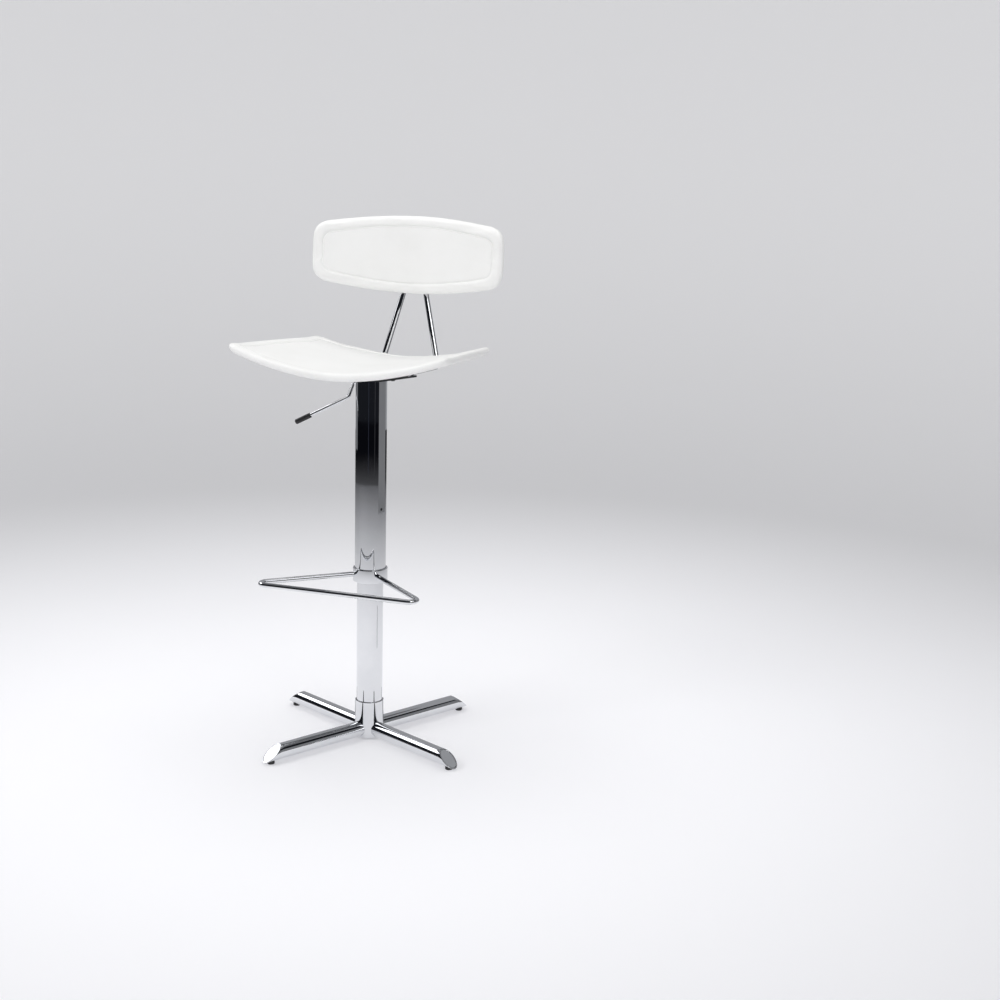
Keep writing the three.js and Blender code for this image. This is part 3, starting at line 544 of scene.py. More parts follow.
def bent_path(corners: Sequence[Sequence[float]], bends: Sequence[float], steps: int = 14) -> Array:
    """Straight stretches between corners, with an arc of its own radius at each inner corner.

    Args:
        corners: Sharp corners in millimetres.
        bends: Radius at each inner corner.
        steps: Stretches in each arc.

    Returns:
        The path's points.
    """
    spots = np.array(corners, float)
    runs = [spots[:1]]
    for before, corner, after, radius in zip(spots[:-2], spots[1:-1], spots[2:], bends):
        into = (corner - before) / np.linalg.norm(corner - before)
        out = (after - corner) / np.linalg.norm(after - corner)
        turn = math.acos(np.clip(into @ out, -1, 1))
        inward = out - into * (into @ out)
        inward /= np.linalg.norm(inward)
        angle = np.linspace(0, turn, steps + 1)[:, None]
        start = corner - into * radius * math.tan(turn / 2)
        runs.append(start + into * radius * np.sin(angle) + inward * radius * (1 - np.cos(angle)))
    return np.vstack([*runs, spots[-1:]])


def carried(name: str, path: Array, radius: float, sides: int = 32, crown: float = 1.0) -> Object:
    """A round section carried along a path, square to it, with its rim softened at both ends.

    Each point is the path's point plus the radius times cosine and sine of the turn along two axes that are carried
    from one station to the next without twist.

    Args:
        name: The piece's name.
        path: The line's points in millimetres.
        radius: Of the section.
        sides: Faces round it.
        crown: How far in from each end the rim's rounding starts.

    Returns:
        The piece.
    """
    ahead = np.gradient(path, axis=0)
    ahead /= np.linalg.norm(ahead, axis=1, keepdims=True)
    side = np.cross(ahead[0], [0.31, 0.17, 0.93])
    sideways = np.empty_like(path)
    for i, heading in enumerate(ahead):  # a station at a time
        side = side - heading * (side @ heading)
        side /= np.linalg.norm(side)
        sideways[i] = side
    upward = np.cross(ahead, sideways)
    rim = np.linspace(0, math.pi / 2, 5)
    slim = np.append(0, radius - crown + crown * np.sin(rim))  # the end's middle, then its rounded rim
    into = np.append(0, crown * (1 - np.cos(rim)))
    ends = len(slim)
    near = path[0] + ahead[0] * into[:, None]
    far = path[-1] - ahead[-1] * into[::-1, None]
    spots = np.vstack([near, path[1:-1], far])
    radii = np.concatenate([slim, np.full(len(path) - 2, radius), slim[::-1]])
    across = np.vstack([np.repeat(sideways[:1], ends, 0), sideways[1:-1], np.repeat(sideways[-1:], ends, 0)])
    above = np.vstack([np.repeat(upward[:1], ends, 0), upward[1:-1], np.repeat(upward[-1:], ends, 0)])
    turn = np.linspace(0, 2 * math.pi, sides, endpoint=False)[None, :, None]
    ring = across[:, None] * np.cos(turn) + above[:, None] * np.sin(turn)
    return make_piece(name, spots[:, None] + ring * radii[:, None, None], grid_faces(len(spots), sides))


# ---------------------------------------------------------------- upholstery


@dataclass(frozen=True)
class Outline:
    """A four-cornered plan with bowed low and high edges, straight ends and rounded corners, in millimetres."""

    low_half: float
    high_half: float
    low: float
    high: float
    low_bow: float
    high_bow: float
    corner: float
    across: int = 88  # points along each bowed edge
    ends: int = 60  # along each end
    turn: int = 12  # round each corner

    def ring(self, inset: float) -> Array:
        """The outline moved in: parabolas for the bowed edges, straight ends, and a parabola round each corner.

        Args:
            inset: How far in from the edge.

        Returns:
            Points round it, as many at every inset, so that rings join into a grid.
        """
        low, high = self.low - inset, self.high - inset
        low_half, high_half = self.low_half - inset, self.high_half - inset
        cut = max(self.corner - inset * 0.6, 3)

        def end_x(y: float) -> float:
            return low_half + (high_half - low_half) * (y + low) / (low + high)

        def bowed(half: float, base: float, bow: float, way: int) -> Array:
            x = np.linspace(-(half - cut), half - cut, self.across) * way
            return np.stack([x, base + bow * (1 - (x / half) ** 2)], axis=-1)

        lower = bowed(low_half, -low, -self.low_bow, 1)
        upper = bowed(high_half, high, self.high_bow, -1)
        right = np.array([[end_x(cut - low), cut - low], [end_x(high - cut), high - cut]])
        left = right[::-1] * [-1, 1]
        share = np.linspace(0, 1, self.turn + 2)[1:-1, None]
        rise = np.linspace(0, 1, self.ends)[:, None]

        def curve(start: Array, corner: tuple[float, float], end: Array) -> Array:
            return (1 - share) ** 2 * start + 2 * share * (1 - share) * np.array(corner) + share**2 * end

        return np.vstack([
            lower, curve(lower[-1], (low_half, -low), right[0]), right[0] + (right[1] - right[0]) * rise,
            curve(right[1], (high_half, high), upper[0]), upper, curve(upper[-1], (-high_half, high), left[0]),
            left[0] + (left[1] - left[0]) * rise, curve(left[1], (-low_half, -low), lower[0]),
        ])


@dataclass
class Pad:
    """A thin sewn pad on a plywood core: a rolled border, a seam, a shallow panel and a flat back."""

    name: str
    outline: Outline
    thickness: float
    node: str
    seam: float = 21.0  # from the edge
    seam_depth: float = 1.25
    seam_width: float = 2.1
    border_crown: float = 0.9
    panel_drop: float = 1.0
    shoulder: float = 40.0  # inset where the rings start to shrink towards the middle
    edge: float = 6.5  # radius of the rolled edge
    back_seam: float = 15.0
    swell: float = 1.8  # most that the filling pushes the cover out
    fill: float = 0.45

    def place(self, flat: Array) -> Array:
        """Bends the flat pad to its place. Flat points are across, along and above the back."""
        raise NotImplementedError

    def section(self, share: Array, front: bool) -> tuple[Array, Array, Array]:
        """The pad's section from its edge to its middle.

        The front rises from half the thickness by a quarter circle, bulges as a parabola over the border, drops as a
        bell curve at the seam, and comes back up over the panel as one less a falling exponential. The back is flat
        inside its own quarter circle, with a shallower bell curve at its seam.

        Args:
            share: 0 at the edge to 1 in the middle. The first half runs in to the shoulder.
            front: Whether this is the side that is sat on or leant on.

        Returns:
            Inset, shrink towards the middle and height above the back.
        """
        inset = self.shoulder * np.clip(share / 0.5, 0, 1)
        shrink = 1 - np.clip((share - 0.5) / 0.5, 0, 1)
        half = self.thickness / 2
        rise = half * np.sqrt(1 - (1 - np.clip(inset / self.edge, 0, 1)) ** 2)
        if not front:
            groove = 0.7 * np.exp(-(((inset - self.back_seam) / 1.2) ** 2))
            return inset, shrink, half - rise + groove
        along = np.clip(inset / self.seam, 0, 1)
        crown = self.border_crown * 4 * along * (1 - along)
        groove = self.seam_depth * np.exp(-(((inset - self.seam) / self.seam_width) ** 2))
        reach = inset + (1 - shrink) * 60
        drop = self.panel_drop * np.exp(-np.clip(reach - self.seam, 0, None) / 22) * (inset >= self.seam)
        ease = np.clip((self.seam - inset) / 4, 0, 1)
        drop = np.where(inset < self.seam, self.panel_drop * (1 - ease) ** 2 * 0.5, drop)
        return inset, shrink, half + rise + crown - groove - drop - self.panel_drop * 0.2

    def sheet(self, stations: Array, columns: int = 1) -> Array:
        """The flat pad's grid.

        Args:
            stations: -1 in the middle of the front, 0 at the edge and 1 in the middle of the back.
            columns: Keeps one outline point in this many.

        Returns:
            Points by station and place round the outline.
        """
        from_edge = np.abs(stations)
        inset_front, shrink_front, high = self.section(from_edge, True)
        inset_back, shrink_back, low = self.section(from_edge, False)
        front = stations < 0
        inset = np.where(front, inset_front, inset_back)
        shrink = np.where(front, shrink_front, shrink_back)
        height = np.where(front, high, low)
        rings = np.stack([self.outline.ring(value)[::columns] for value in inset])
        middle = rings[-1].mean(axis=0) * [0, 1]
        flat = middle + (rings - middle) * shrink[:, None, None]
        tall = np.broadcast_to(height[:, None, None], (*flat.shape[:2], 1))
        return np.concatenate([flat, tall], axis=-1)

    def filling(self, stations: Array) -> Array:
        """Runs the cover as cloth under air pressure, held along its seam and its glued back.

        The coarse cover's movement is capped, then spread over the fine grid by straight-line weights between its
        stations and its places round the outline.

        Args:
            stations: The fine grid's stations.

        Returns:
            How far each point of the fine grid moves.
        """
        skip = 4
        run_in = np.array([0, 3, 6.5, 10, 15, 20, 25, 32, 40]) / (2 * self.shoulder)
        coarse = np.concatenate([run_in, np.linspace(0.56, 0.97, 9)])
        coarse = np.concatenate([-coarse[::-1], coarse[1:]])
        rest = self.sheet(coarse, skip)
        rows, columns = rest.shape[:2]
        number = np.arange(rows * columns).reshape(rows, columns)
        from_edge = np.abs(coarse) * 2 * self.shoulder
        held = ((coarse > 0) & (from_edge > 4)) | (np.abs(from_edge - self.seam) < 1)
        caps = [number[0][::-1].tolist(), number[-1].tolist()]
        faces = grid_faces(rows, columns).tolist() + caps
        moved = inflate(self.name, rest.reshape(-1, 3), faces, number[held].ravel()).reshape(rest.shape) - rest
        length = np.linalg.norm(moved, axis=-1, keepdims=True)
        moved *= np.minimum(1, self.swell / np.maximum(length, 1e-9))
        ends = moved[[0, -1]].mean(axis=1, keepdims=True)
        moved[[0, -1]] = ends
        fine = self.outline.ring(0).shape[0]
        along = between(stations, coarse)
        around = between(np.arange(fine), np.arange(columns) * skip, period=fine)
        return np.einsum("fr,rck,gc->fgk", along, moved, around)

    def stitches(self, sheet: Array, row: int, material: Material, pitch: float = 4.2) -> Object:
        """A row of stitches on one ring of the cover.

        A stitch is a rounded section carried along a short stretch of the ring: its ends dive into the cover by one
        less a half sine of the way along it.

        Args:
            sheet: The flat pad's finished grid.
            row: The ring that the stitches follow.
            material: The thread's material.
            pitch: From one stitch to the next.

        Returns:
            The stitches, as one piece.
        """
        line = np.vstack([sheet[row], sheet[row][:1]])
        run = np.append(0, np.cumsum(np.linalg.norm(np.diff(line, axis=0), axis=1)))
        count = int(run[-1] / pitch)
        along = np.linspace(0, 1, 7)
        where = (np.arange(count)[:, None] + along * 0.74) * run[-1] / count
        spots = np.stack([np.interp(where, run, line[:, axis]) for axis in range(3)], axis=-1)
        arch = np.sin(math.pi * along)
        spots[..., 2] += 0.42 * arch - 0.3
        heading = spots[:, -1] - spots[:, 0]
        heading /= np.linalg.norm(heading, axis=1, keepdims=True)
        side = np.cross(heading, [0.0, 0.0, 1.0])
        turn = np.linspace(0, 2 * math.pi, 7)[:-1]
        thick = 0.36 * np.sqrt(arch.clip(0.02))[None, :, None, None]
        ring = side[:, None, None] * np.cos(turn)[:, None] + np.array([0, 0, 1.0]) * np.sin(turn)[:, None]
        points = spots[:, :, None] + ring * thick
        faces = grid_faces(len(along), len(turn))
        faces = (faces[None] + (np.arange(count) * len(along) * len(turn))[:, None, None]).reshape(-1, 4)
        piece = make_piece(f"{self.name}_stitching", self.place(points.reshape(-1, 3)), faces)
        piece.data.materials.append(material)
        return piece

    def build(self, shop: Workshop) -> Object:
        """Makes the pad with its stitching.

        Args:
            shop: The finishes.

        Returns:
            The pad.
        """
        roll = self.edge * (1 - np.cos(np.linspace(0, math.pi / 2, 8)))
        near = self.seam + np.arange(-3, 3.25, 0.5)
        run_in = np.concatenate([roll, [8.5, 11, 13.5, 15.5], near, [self.seam + 4.5, self.seam + 8, 34, 40]])
        fine = np.concatenate([run_in / (2 * self.shoulder), np.linspace(0.5, 1, 16)[1:]])
        back_near = self.back_seam + np.arange(-2.5, 2.75, 0.5)
        back_in = np.concatenate([roll, [9, 11], back_near, [22, 30, 40]])
        back = np.concatenate([back_in / (2 * self.shoulder), np.linspace(0.5, 1, 12)[1:]])
        stations = np.concatenate([-fine[::-1], back[1:]])
        sheet = self.sheet(stations)
        sheet = sheet + self.filling(stations)
        piece = make_piece(self.name, self.place(sheet), grid_faces(*sheet.shape[:2]), math.radians(60))
        shop.dress(piece, Slot.LEATHERETTE)
        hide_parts(self.node)
        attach(piece, Body.SEAT.value)
        row = int(np.argmin(np.abs(stations + (self.seam + 2.5) / (2 * self.shoulder))))
        sewing = self.stitches(sheet, row, shop.thread)
        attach(sewing, Body.SEAT.value)
        log.info("%s: %d faces, %s", self.name, len(piece.data.polygons), sewing.name)
        return piece


def between(at: Array, knots: Array, period: float | None = None) -> Array:
    """Weights that carry values at knots to other places along straight lines.

    Args:
        at: The places.
        knots: Where the values are.
        period: After how far the knots repeat, if they do.

    Returns:
        One row of weights for each place.
    """
    return np.stack([np.interp(at, knots, unit, period=period) for unit in np.eye(len(knots))], axis=1)


def inflate(name: str, points: Array, faces: Sequence[Sequence[int]], held: Array, frames: int = 20) -> Array:
    """Runs a closed cover as cloth under pressure, without gravity.

    Args:
        name: A name for the run.
        points: Rest places in millimetres.
        faces: Point numbers of each face.
        held: Numbers of the points that stay.
        frames: Last frame of the run.

    Returns:
        Where the points end, in millimetres.
    """
    mesh = bpy.data.meshes.new(f"{name}_run")
    mesh.from_pydata((points * MM).tolist(), [], faces)
    shape = bmesh.new()
    shape.from_mesh(mesh)
    bmesh.ops.recalc_face_normals(shape, faces=shape.faces)
    shape.to_mesh(mesh)
    shape.free()
    cover = bpy.data.objects.new(f"{name}_run", mesh)
    scene = bpy.context.scene
    scene.collection.objects.link(cover)
    cover.vertex_groups.new(name="held").add(held.tolist(), 1.0, "REPLACE")
    cloth = cover.modifiers.new("Cloth", "CLOTH")
    settings = cloth.settings
    settings.quality, settings.mass = 6, 0.2
    settings.tension_stiffness = settings.compression_stiffness = 12
    settings.shear_stiffness, settings.bending_stiffness = 6, 0.6
    settings.use_pressure, settings.uniform_pressure_force = True, 4
    settings.vertex_group_mass = "held"
    settings.effector_weights.gravity = 0
    cloth.point_cache.frame_start, cloth.point_cache.frame_end = 1, frames
    for frame in range(1, frames + 1):
        scene.frame_set(frame)
    shown = cover.evaluated_get(bpy.context.evaluated_depsgraph_get())
    result = np.empty(len(points) * 3, np.float32)
    shown.data.vertices.foreach_get("co", result)
    bpy.data.objects.remove(cover)
    scene.frame_set(1)
    return result.reshape(-1, 3).astype(float) / MM


@dataclass
class SeatPad(Pad):
    """The seat: a saddle that rises to both sides as a power of the distance from the middle, and falls a little to
    the rear."""

    underside: float = 0.0  # height at the middle
    rise: float = 36.5
    rise_at: float = 200.0
    power: float = 1.8
    tilt: float = 0.029

    def place(self, flat: Array) -> Array:
        """Height above the underside, plus the rise times distance to a power, less the tilt times the way back."""
        x, y, high = flat[..., 0], flat[..., 1], flat[..., 2]
        under = self.underside + self.rise * (np.abs(x) / self.rise_at) ** self.power - self.tilt * y
        return np.stack([x, y, under + high], axis=-1)


@dataclass
class BackPad(Pad):
    """The backrest: bent forwards to both sides as a square of the distance from the middle, and leant back."""

    rear: float = 212.5  # middle of its rear face
    height: float = 934.5
    lean: float = math.radians(5)
    sag: float = 34.0
    sag_at: float = 200.0

    def place(self, flat: Array) -> Array:
        """Depth forwards is the bend's square plus the height above the back, and the whole turns by the lean."""
        x, up = flat[..., 0], flat[..., 1]
        depth = self.sag * (x / self.sag_at) ** 2 + flat[..., 2]
        y = self.rear + math.sin(self.lean) * up - math.cos(self.lean) * depth
        z = self.height + math.cos(self.lean) * up + math.sin(self.lean) * depth
        return np.stack([x, y, z], axis=-1)


# ---------------------------------------------------------------- bright metal


@dataclass
class Foot:
    """The cross foot: a hub and four round legs whose ends are cut on a slant."""

    hub_outer: float
    hub_bottom: float
    hub_top: float
    leg_radius: float
    leg_axis: float
    hub_wall: float = 2.2
    leg_wall: float = 2.0
    reach: float = 256.0
    slant: float = 38.0  # how much shorter the leg's top is
    first_turn: float = math.radians(62.7)
    sides: int = 72

    @classmethod
    def from_frame(cls) -> Foot:
        """Takes the hub's and a leg's sizes and heights from the frame."""
        (_, _, hub_low), (hub_radius, _, hub_high) = span("hub")
        leg_low, leg_high = span("leg_1")[0][2], span("leg_1")[1][2]
        return cls(hub_radius, hub_low, hub_high, (leg_high - leg_low) / 2, (leg_high + leg_low) / 2)

    def hub(self) -> Object:
        """A ring with softened rims."""
        outer, low, high = self.hub_outer, self.hub_bottom, self.hub_top
        inner = outer - self.hub_wall
        middle = (inner + outer) / 2
        profile = [(middle, low), (outer, low), (outer, high), (middle, high), (inner, high), (inner, low), (middle, low)]
        return turned("hub_ring", round_corners(profile, 0.9)[:-1], loop=True)

    def leg(self, number: int) -> Object:
        """One leg.

        Along it, each line of the tube runs from the hub's wall, the root of the hub's radius squared less the line's
        offset squared, to the slanted end, which is the reach less the slant times half of one plus the cosine of the
        line's turn from the top. The rim is softened, and a second wall runs in behind the end cap.

        Args:
            number: 1 to 4.

        Returns:
            The leg.
        """
        turn = np.linspace(0, 2 * math.pi, self.sides, endpoint=False)
        along = np.linspace(0, 1, 24)[:, None]
        start = np.sqrt((self.hub_outer - 0.2) ** 2 - (self.leg_radius * np.sin(turn)) ** 2)

        def end(radius: float) -> Array:
            return self.reach - self.slant * (1 + radius / self.leg_radius * np.cos(turn)) / 2

        rim = np.linspace(0, math.pi, 9)[:, None]
        half = self.leg_wall / 2
        rim_radius = self.leg_radius - half + half * np.cos(rim)
        rim_reach = np.stack([end(value) for value in rim_radius[:, 0]]) + half * 0.8 * (np.sin(rim) - 1)
        tube = start + (rim_reach[0] - start) * along[:-1]
        inner = self.leg_radius - self.leg_wall
        well = end(inner) - np.array([3.0, 7.0, 7.0])[:, None]
        x = np.vstack([np.full((1, self.sides), self.hub_outer - 4), tube, rim_reach, well])
        radii = np.concatenate([[0], np.full(len(tube), self.leg_radius), rim_radius[:, 0], [inner, inner, 0]])[:, None]
        x[-1] = x[-1].mean()
        spin = self.first_turn + (number - 1) * math.pi / 2
        side = radii * np.sin(turn)
        points = np.stack([
            x * math.cos(spin) - side * math.sin(spin), x * math.sin(spin) + side * math.cos(spin),
            self.leg_axis + radii * np.cos(turn),
        ], axis=-1)
        return make_piece(f"leg_tube_{number}", points, grid_faces(*x.shape))

    def build(self, shop: Workshop) -> None:
        """Makes the hub and the legs, and puts them in place of the frame's."""
        pieces = {"hub": self.hub(), **{f"leg_{i}": self.leg(i) for i in range(1, 5)}}
        for node, piece in pieces.items():
            shop.dress(piece, Slot.CHROME)
            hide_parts(node)
            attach(piece, Body.BASE.value)
            log.info("foot: %s", piece.name)


@dataclass
class Footrest:
    """The bent bar and the clamping collar that carries it."""

    outer: float
    bottom: float
    top: float
    bar_radius: float
    bar_height: float
    reach: float  # the front bar's middle from the column
    wall: float = 3.3
    spread: float = math.radians(47.5)  # each side bar from straight ahead
    root: float = 32.6  # where the side bars start in the collar's wall
    bend: float = 14.0

    @classmethod
    def from_frame(cls) -> Footrest:
        """Takes the collar's and the bar's sizes and heights from the frame."""
        (_, _, bottom), (outer, _, top) = span("footrest_collar")
        low, high = span("footrest_rod")
        radius = (high[2] - low[2]) / 2
        return cls(outer, bottom, top, radius, (high[2] + low[2]) / 2, -low[1] - radius)

    def build(self, shop: Workshop) -> None:
        """Makes both pieces, and puts them in place of the frame's."""
        inner = self.outer - self.wall
        middle = (inner + self.outer) / 2
        profile = [(middle, self.bottom), (self.outer, self.bottom), (self.outer, self.top), (middle, self.top),
                   (inner, self.top), (inner, self.bottom), (middle, self.bottom)]
        collar = turned("footrest_band", round_corners(profile, 1.3)[:-1], loop=True)
        z = self.bar_height
        root_x, root_y = self.root * math.sin(self.spread), -self.root * math.cos(self.spread)
        corner_x, corner_y = self.reach * math.tan(self.spread), -self.reach
        corners = [(-root_x, root_y, z), (-corner_x, corner_y, z), (corner_x, corner_y, z), (root_x, root_y, z)]
        bar = carried("footrest_bar", bent_path(corners, [self.bend] * 2), self.bar_radius)
        for node, piece in {"footrest_collar": collar, "footrest_rod": bar}.items():
            shop.dress(piece, Slot.CHROME)
            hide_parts(node)
            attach(piece, Body.SEAT.value)
            log.info("footrest: %s", piece.name)


@dataclass
class BackFrame:
    """The rod that carries the backrest: two bars under the seat, up to one bend behind the bracket."""

    radius: float = 5.5
    half: float = 60.0
    front: float = 36.0
    kink: tuple[float, float] = (62.0, 723.0)
    heel: tuple[float, float] = (190.0, 717.5)
    peak: tuple[float, float] = (228.05, 955.0)
    bends: tuple[float, ...] = (12, 12, 10.5, 12, 12)

    def build(self, shop: Workshop) -> None:
        """Makes the rod, and puts it in place of the frame's."""
        side = [(self.front, self.kink[1]), self.kink, self.heel]
        left = [(-self.half, y, z) for y, z in side]
        right = [(self.half, y, z) for y, z in side[::-1]]
        rod = carried("back_bar", bent_path([*left, (0, *self.peak), *right], self.bends), self.radius)
        shop.dress(rod, Slot.CHROME)
        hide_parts("back_rod")
        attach(rod, Body.SEAT.value)
        log.info("backrest frame: %s", rod.name)


@dataclass
class Lever:
    """The height lever under the seat."""

    radius: float = 3.5
    corners: tuple[tuple[float, float, float], ...] = ((4, 0, 705.8), (-37, 0, 705.8), (-44, -9, 677), (-147, -26, 623))
    bend: float = 8.0

    def build(self, shop: Workshop) -> None:
        """Makes the rod, and puts it in place of the frame's."""
        rod = carried("lever_bar", bent_path(self.corners, [self.bend] * 2), self.radius, 24, 0.6)
        shop.dress(rod, Slot.CHROME)
        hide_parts("lever_rod")
        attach(rod, Body.LEVER.value)
        log.info("lever: %s", rod.name)


# ---------------------------------------------------------------- studio


@dataclass(frozen=True)
class Softbox:
    """An area lamp, aimed at a point."""

    name: str
    place: tuple[float, float, float]
    aim: tuple[float, float, float]
    size: tuple[float, float]
    power: float
    colour: Colour = (1.0, 1.0, 1.0)
    mirrored: bool = True  # whether bright metal shows it

    def build(self) -> None:
        """Makes the lamp."""
        lamp = bpy.data.lights.new(self.name, "AREA")
        lamp.shape, (lamp.size, lamp.size_y) = "RECTANGLE", self.size
        lamp.energy, lamp.color = self.power, self.colour
        holder = bpy.data.objects.new(self.name, lamp)
        holder.location = self.place
        holder.visible_glossy = self.mirrored
        holder.rotation_euler = (Vector(self.aim) - Vector(self.place)).to_track_quat("-Z", "Y").to_euler()
        bpy.context.scene.collection.objects.link(holder)


@dataclass
class Studio:
    """A pale round sweep, softboxes, and the painted reflections that only the bright metal mirrors."""

    flat: float = 2400.0  # radius of the level floor
    curve: float = 2500.0
    wall: float = 6000.0
    paper: Colour = (0.69, 0.69, 0.704)
    mirror_near: float = 0.45  # metres from the column where the mirrored floor starts to go dark
    mirror_far: float = 3.0
    lamps: Sequence[Softbox] = field(default_factory=lambda: [
        Softbox("overhead", (-0.2, 0.3, 3.2), (0, 0, 0), (2.6, 2.2), 48, mirrored=False),
        Softbox("front_left", (-1.9, -2.9, 2.9), (0, 0, 0.8), (1.8, 1.4), 44.5, mirrored=False),
        Softbox("front_right", (2.9, -2.6, 2.7), (0, 0, 0.8), (1.4, 1.4), 23.5),
    ])

    def sweep(self) -> Object:
        """The floor and wall: a flat disc, a quarter circle and an upright wall, turned round the column."""
        turn = np.linspace(0, math.pi / 2, 24)
        bend = np.stack([self.flat + self.curve * np.sin(turn), self.curve * (1 - np.cos(turn))], axis=-1)
        rim = self.flat + self.curve
        inside = np.stack([np.linspace(0, self.flat, 12)[:-1], np.zeros(11)], axis=-1)
        profile = np.vstack([inside, bend, [[rim, self.wall]]])
        sweep = turned("sweep", profile, 128)
        g = Graph("paper")
        wide = g.node("ShaderNodeVectorMath", {"operation": "LENGTH"}, {0: g.place()}).outputs["Value"]
        away = Value(g, wide)
        fibre = g.noise(340, 3)
        # Painted shade: the paper's colour darkens from 0.5 to 2.5 m out from the column, standing in for the fall of
        # the light; the fibre noise is the paper's own.
        tone = away.between(0.5, 2.5) * 0.92 + fibre * 0.08
        g.dress(Base_Color=g.blend(tone, self.paper, (0.44, 0.44, 0.45)), Roughness=0.85)
        # Painted light: the sweep glows, dimmer from 0.6 to 2.6 m out and brighter again from 2.2 to 4.8 m over the far
        # wall; the glow also lights the stool softly.
        level = g.blend(away.between(0.6, 2.6), (0.88, 0.88, 0.91), (0.7, 0.7, 0.715))
        g.dress(Emission_Color=g.blend(away.between(2.2, 4.8), level, (1.16, 1.16, 1.175)))
        g.dress(Emission_Strength=0.34)
        sweep.data.materials.append(g.material)
        sweep.visible_glossy = False
        return sweep

    def mirrored_floor(self) -> Object:
        """A painted reflection of the floor, seen only by the metal: paper with painted light near the foot, going dark
        towards the room.
        """
        disc = turned("mirrored_floor", np.array([[0, 0.4], [1000, 0.4], [3600, 0.4]]), 96)
        g = Graph("mirrored_paper")
        wide = g.node("ShaderNodeVectorMath", {"operation": "LENGTH"}, {0: g.place()}).outputs["Value"]
        dark = Value(g, wide).between(self.mirror_near, self.mirror_far)
        g.dress(Base_Color=g.blend(dark, self.paper, (0.012, 0.013, 0.018)), Roughness=0.9, Specular_IOR_Level=0.0)
        g.dress(Emission_Color=g.blend(dark, (0.3, 0.3, 0.31), (0.0, 0.0, 0.0)), Emission_Strength=1.0)
        disc.data.materials.append(g.material)
        self.only_mirrored(disc)
        return disc

    @staticmethod
    def only_mirrored(card: Object) -> None:
        """Hides a card from the camera, soft light and shadows, so that only bright metal shows it."""
        card.visible_camera = card.visible_diffuse = card.visible_shadow = card.visible_transmission = False

    def card(self, name: str, turn: float, width: float, low: float, high: float, reach: float, glow: Colour) -> Object:
        """An upright glowing card, part of a cylinder round the column, seen only by the metal: a painted reflection.

        Args:
            name: Its name.
            turn: Direction of its middle, in degrees from +X.
            width: Degrees that it spans.
            low: Height of its foot in metres.
            high: Height of its top.
            reach: Distance from the column.
            glow: Its colour.

        Returns:
            The card.
        """
        angle = np.radians(turn + np.linspace(-width / 2, width / 2, 25))
        ring = np.stack([np.cos(angle) * reach, np.sin(angle) * reach], axis=-1) / MM
        rows = np.array([low, high]) / MM
        points = np.concatenate([np.tile(ring, (2, 1)), np.repeat(rows, 25)[:, None]], axis=-1)
        faces = grid_faces(2, 25)
        piece = make_piece(name, points, faces[np.arange(25) != 24])
        g = Graph(name)
        g.dress(Base_Color=(0, 0, 0, 1), Emission_Color=(*glow, 1), Emission_Strength=1.0)
        piece.data.materials.append(g.material)
        self.only_mirrored(piece)
        return piece

    def reflected_ceiling(self) -> Object:
        """A dim glowing disc over the lamps, seen only in bright metal: a painted reflection of a ceiling."""
        disc = turned("reflected_ceiling", np.array([[0, 4600], [2000, 4600], [4200, 4600]]), 48)
        g = Graph("reflected_ceiling")
        g.dress(Base_Color=(0, 0, 0, 1), Emission_Color=(0.13, 0.133, 0.14, 1), Emission_Strength=1.0)
        disc.data.materials.append(g.material)
        self.only_mirrored(disc)
        return disc

    def build(self) -> None:
        """Makes the sweep, the cards, the lamps and the dim room."""
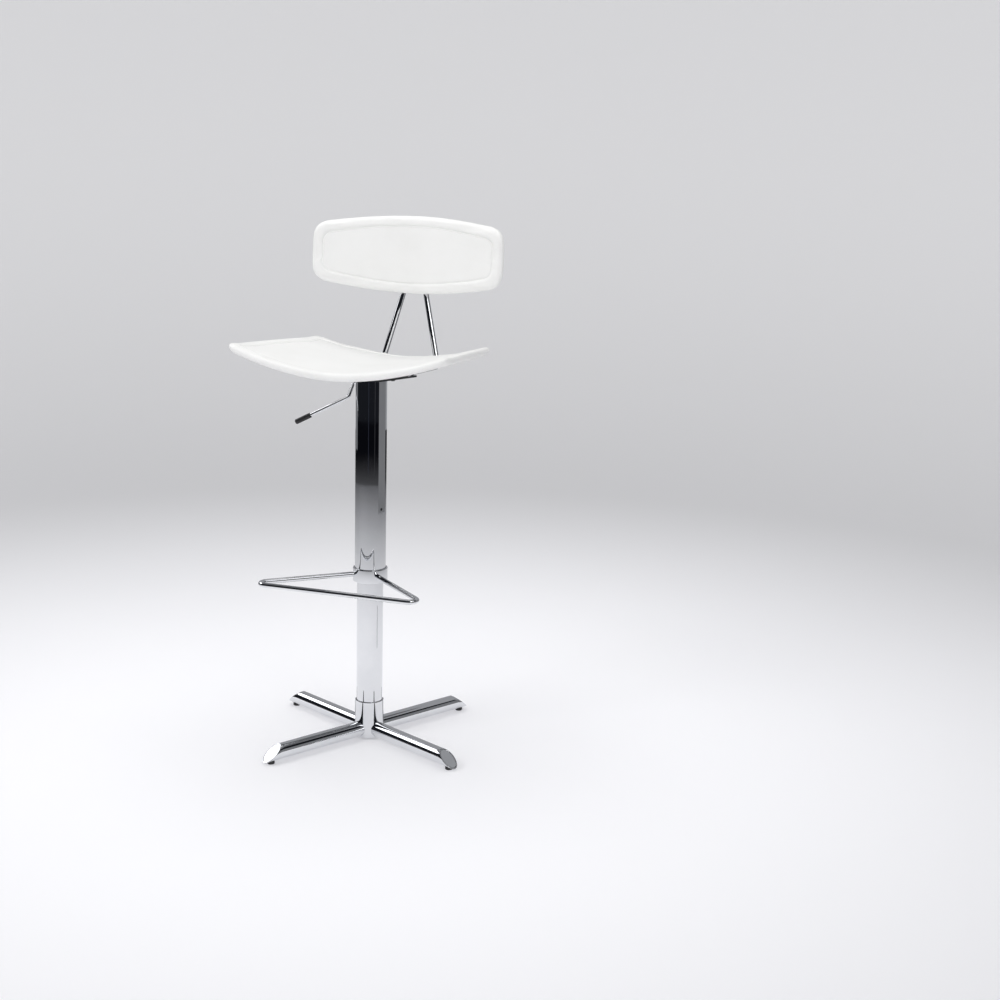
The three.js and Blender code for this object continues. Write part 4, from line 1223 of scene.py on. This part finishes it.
        # Painted reflections: the mirrored floor, the glowing cards and strips and the ceiling disc show only in
        # reflections, not to the camera or as light on dull surfaces.
        cards = [
            self.sweep(), self.mirrored_floor(),
            self.card("rear_card", 88, 116, 0.0, 4.2, 3.4, (0.33, 0.335, 0.35)),
            self.card("left_card", 158, 34, 0.0, 3.0, 3.0, (0.17, 0.175, 0.185)),
            self.card("right_card", 28, 72, 0.0, 1.1, 2.0, (0.18, 0.182, 0.19)),
            self.card("left_reflected_glow", 174, 44, 1.35, 2.7, 2.4, (2.4, 2.4, 2.45)),
            self.card("right_reflected_glow", -23, 38, 1.75, 3.0, 2.5, (1.9, 1.9, 1.95)),
            self.card("low_reflected_card", 0, 4.0, 0.0, 0.1, 0.62, (0.16, 0.165, 0.19)),
            self.card("blue_strip", -85, 2.2, 0.0, 2.4, 2.6, (0.03, 0.036, 0.06)),
            self.card("grey_strip", -39, 2.6, 0.0, 2.4, 2.6, (0.045, 0.046, 0.05)),
            self.reflected_ceiling(),
        ]
        for lamp in self.lamps:
            lamp.build()
        world = bpy.data.worlds.new("room")
        world.use_nodes = True
        world.node_tree.nodes["Background"].inputs["Color"].default_value = (0.01, 0.011, 0.014, 1)
        scene = bpy.context.scene
        scene.world = world
        scene.view_settings.view_transform = "Standard"
        scene.view_settings.look = "None"


@dataclass(frozen=True)
class Viewpoint:
    """The camera: a standing eye in front and to the right, looking down a little."""

    place: tuple[float, float, float] = (1.3438, -3.0759, 1.227)
    yaw: float = math.radians(19.37)
    pitch: float = math.radians(10.92)
    roll: float = math.radians(-1.18)
    lens: float = 63.94
    lift: float = -0.05

    def build(self) -> None:
        """Makes the camera: turned by the yaw, tipped down by the pitch and rolled."""
        lens = bpy.data.cameras.new("viewpoint")
        lens.lens, lens.sensor_width, lens.shift_y = self.lens, 36.0, self.lift
        lens.clip_start, lens.clip_end = 0.05, 60.0
        camera = bpy.data.objects.new("viewpoint", lens)
        turn = Matrix.Rotation(self.yaw, 4, "Z") @ Matrix.Rotation(-self.pitch, 4, "X")
        turn = turn @ Matrix.Rotation(self.roll, 4, "Y") @ Matrix.Rotation(math.pi / 2, 4, "X")
        camera.matrix_world = Matrix.Translation(self.place) @ turn
        bpy.context.scene.collection.objects.link(camera)
        bpy.context.scene.camera = camera


SEAT_ABOVE_PLATE = 10.8  # the back frame's bars lie between the plate and the pad
SEAT_OUTLINE = Outline(220.8, 188.8, 173.8, 152.8, 10, 26, 22)
BACK_OUTLINE = Outline(202.4, 202.4, 56.4, 56.4, 22, 22, 31, ends=28)


def main() -> None:
    """Builds the stool's looks in order: camera, finishes, upholstery, metal and studio."""
    logging.basicConfig(level=logging.INFO, format="%(message)s")
    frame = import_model()
    Viewpoint().build()
    shop = Workshop()
    underside = span("seat_plate")[1][2] + SEAT_ABOVE_PLATE
    SeatPad("seat_pad", SEAT_OUTLINE, 14.0, "seat_cover", underside=underside).build(shop)
    BackPad("backrest_pad", BACK_OUTLINE, 20.0, "backrest_cover", edge=9.0, swell=1.9, fill=0.5).build(shop)
    for part in (Foot.from_frame(), Footrest.from_frame(), BackFrame(), Lever()):
        part.build(shop)
    shop.dress_nodes(frame["nodes"])
    Studio().build()
    bpy.context.view_layer.update()


if __name__ == "__main__":
    main()
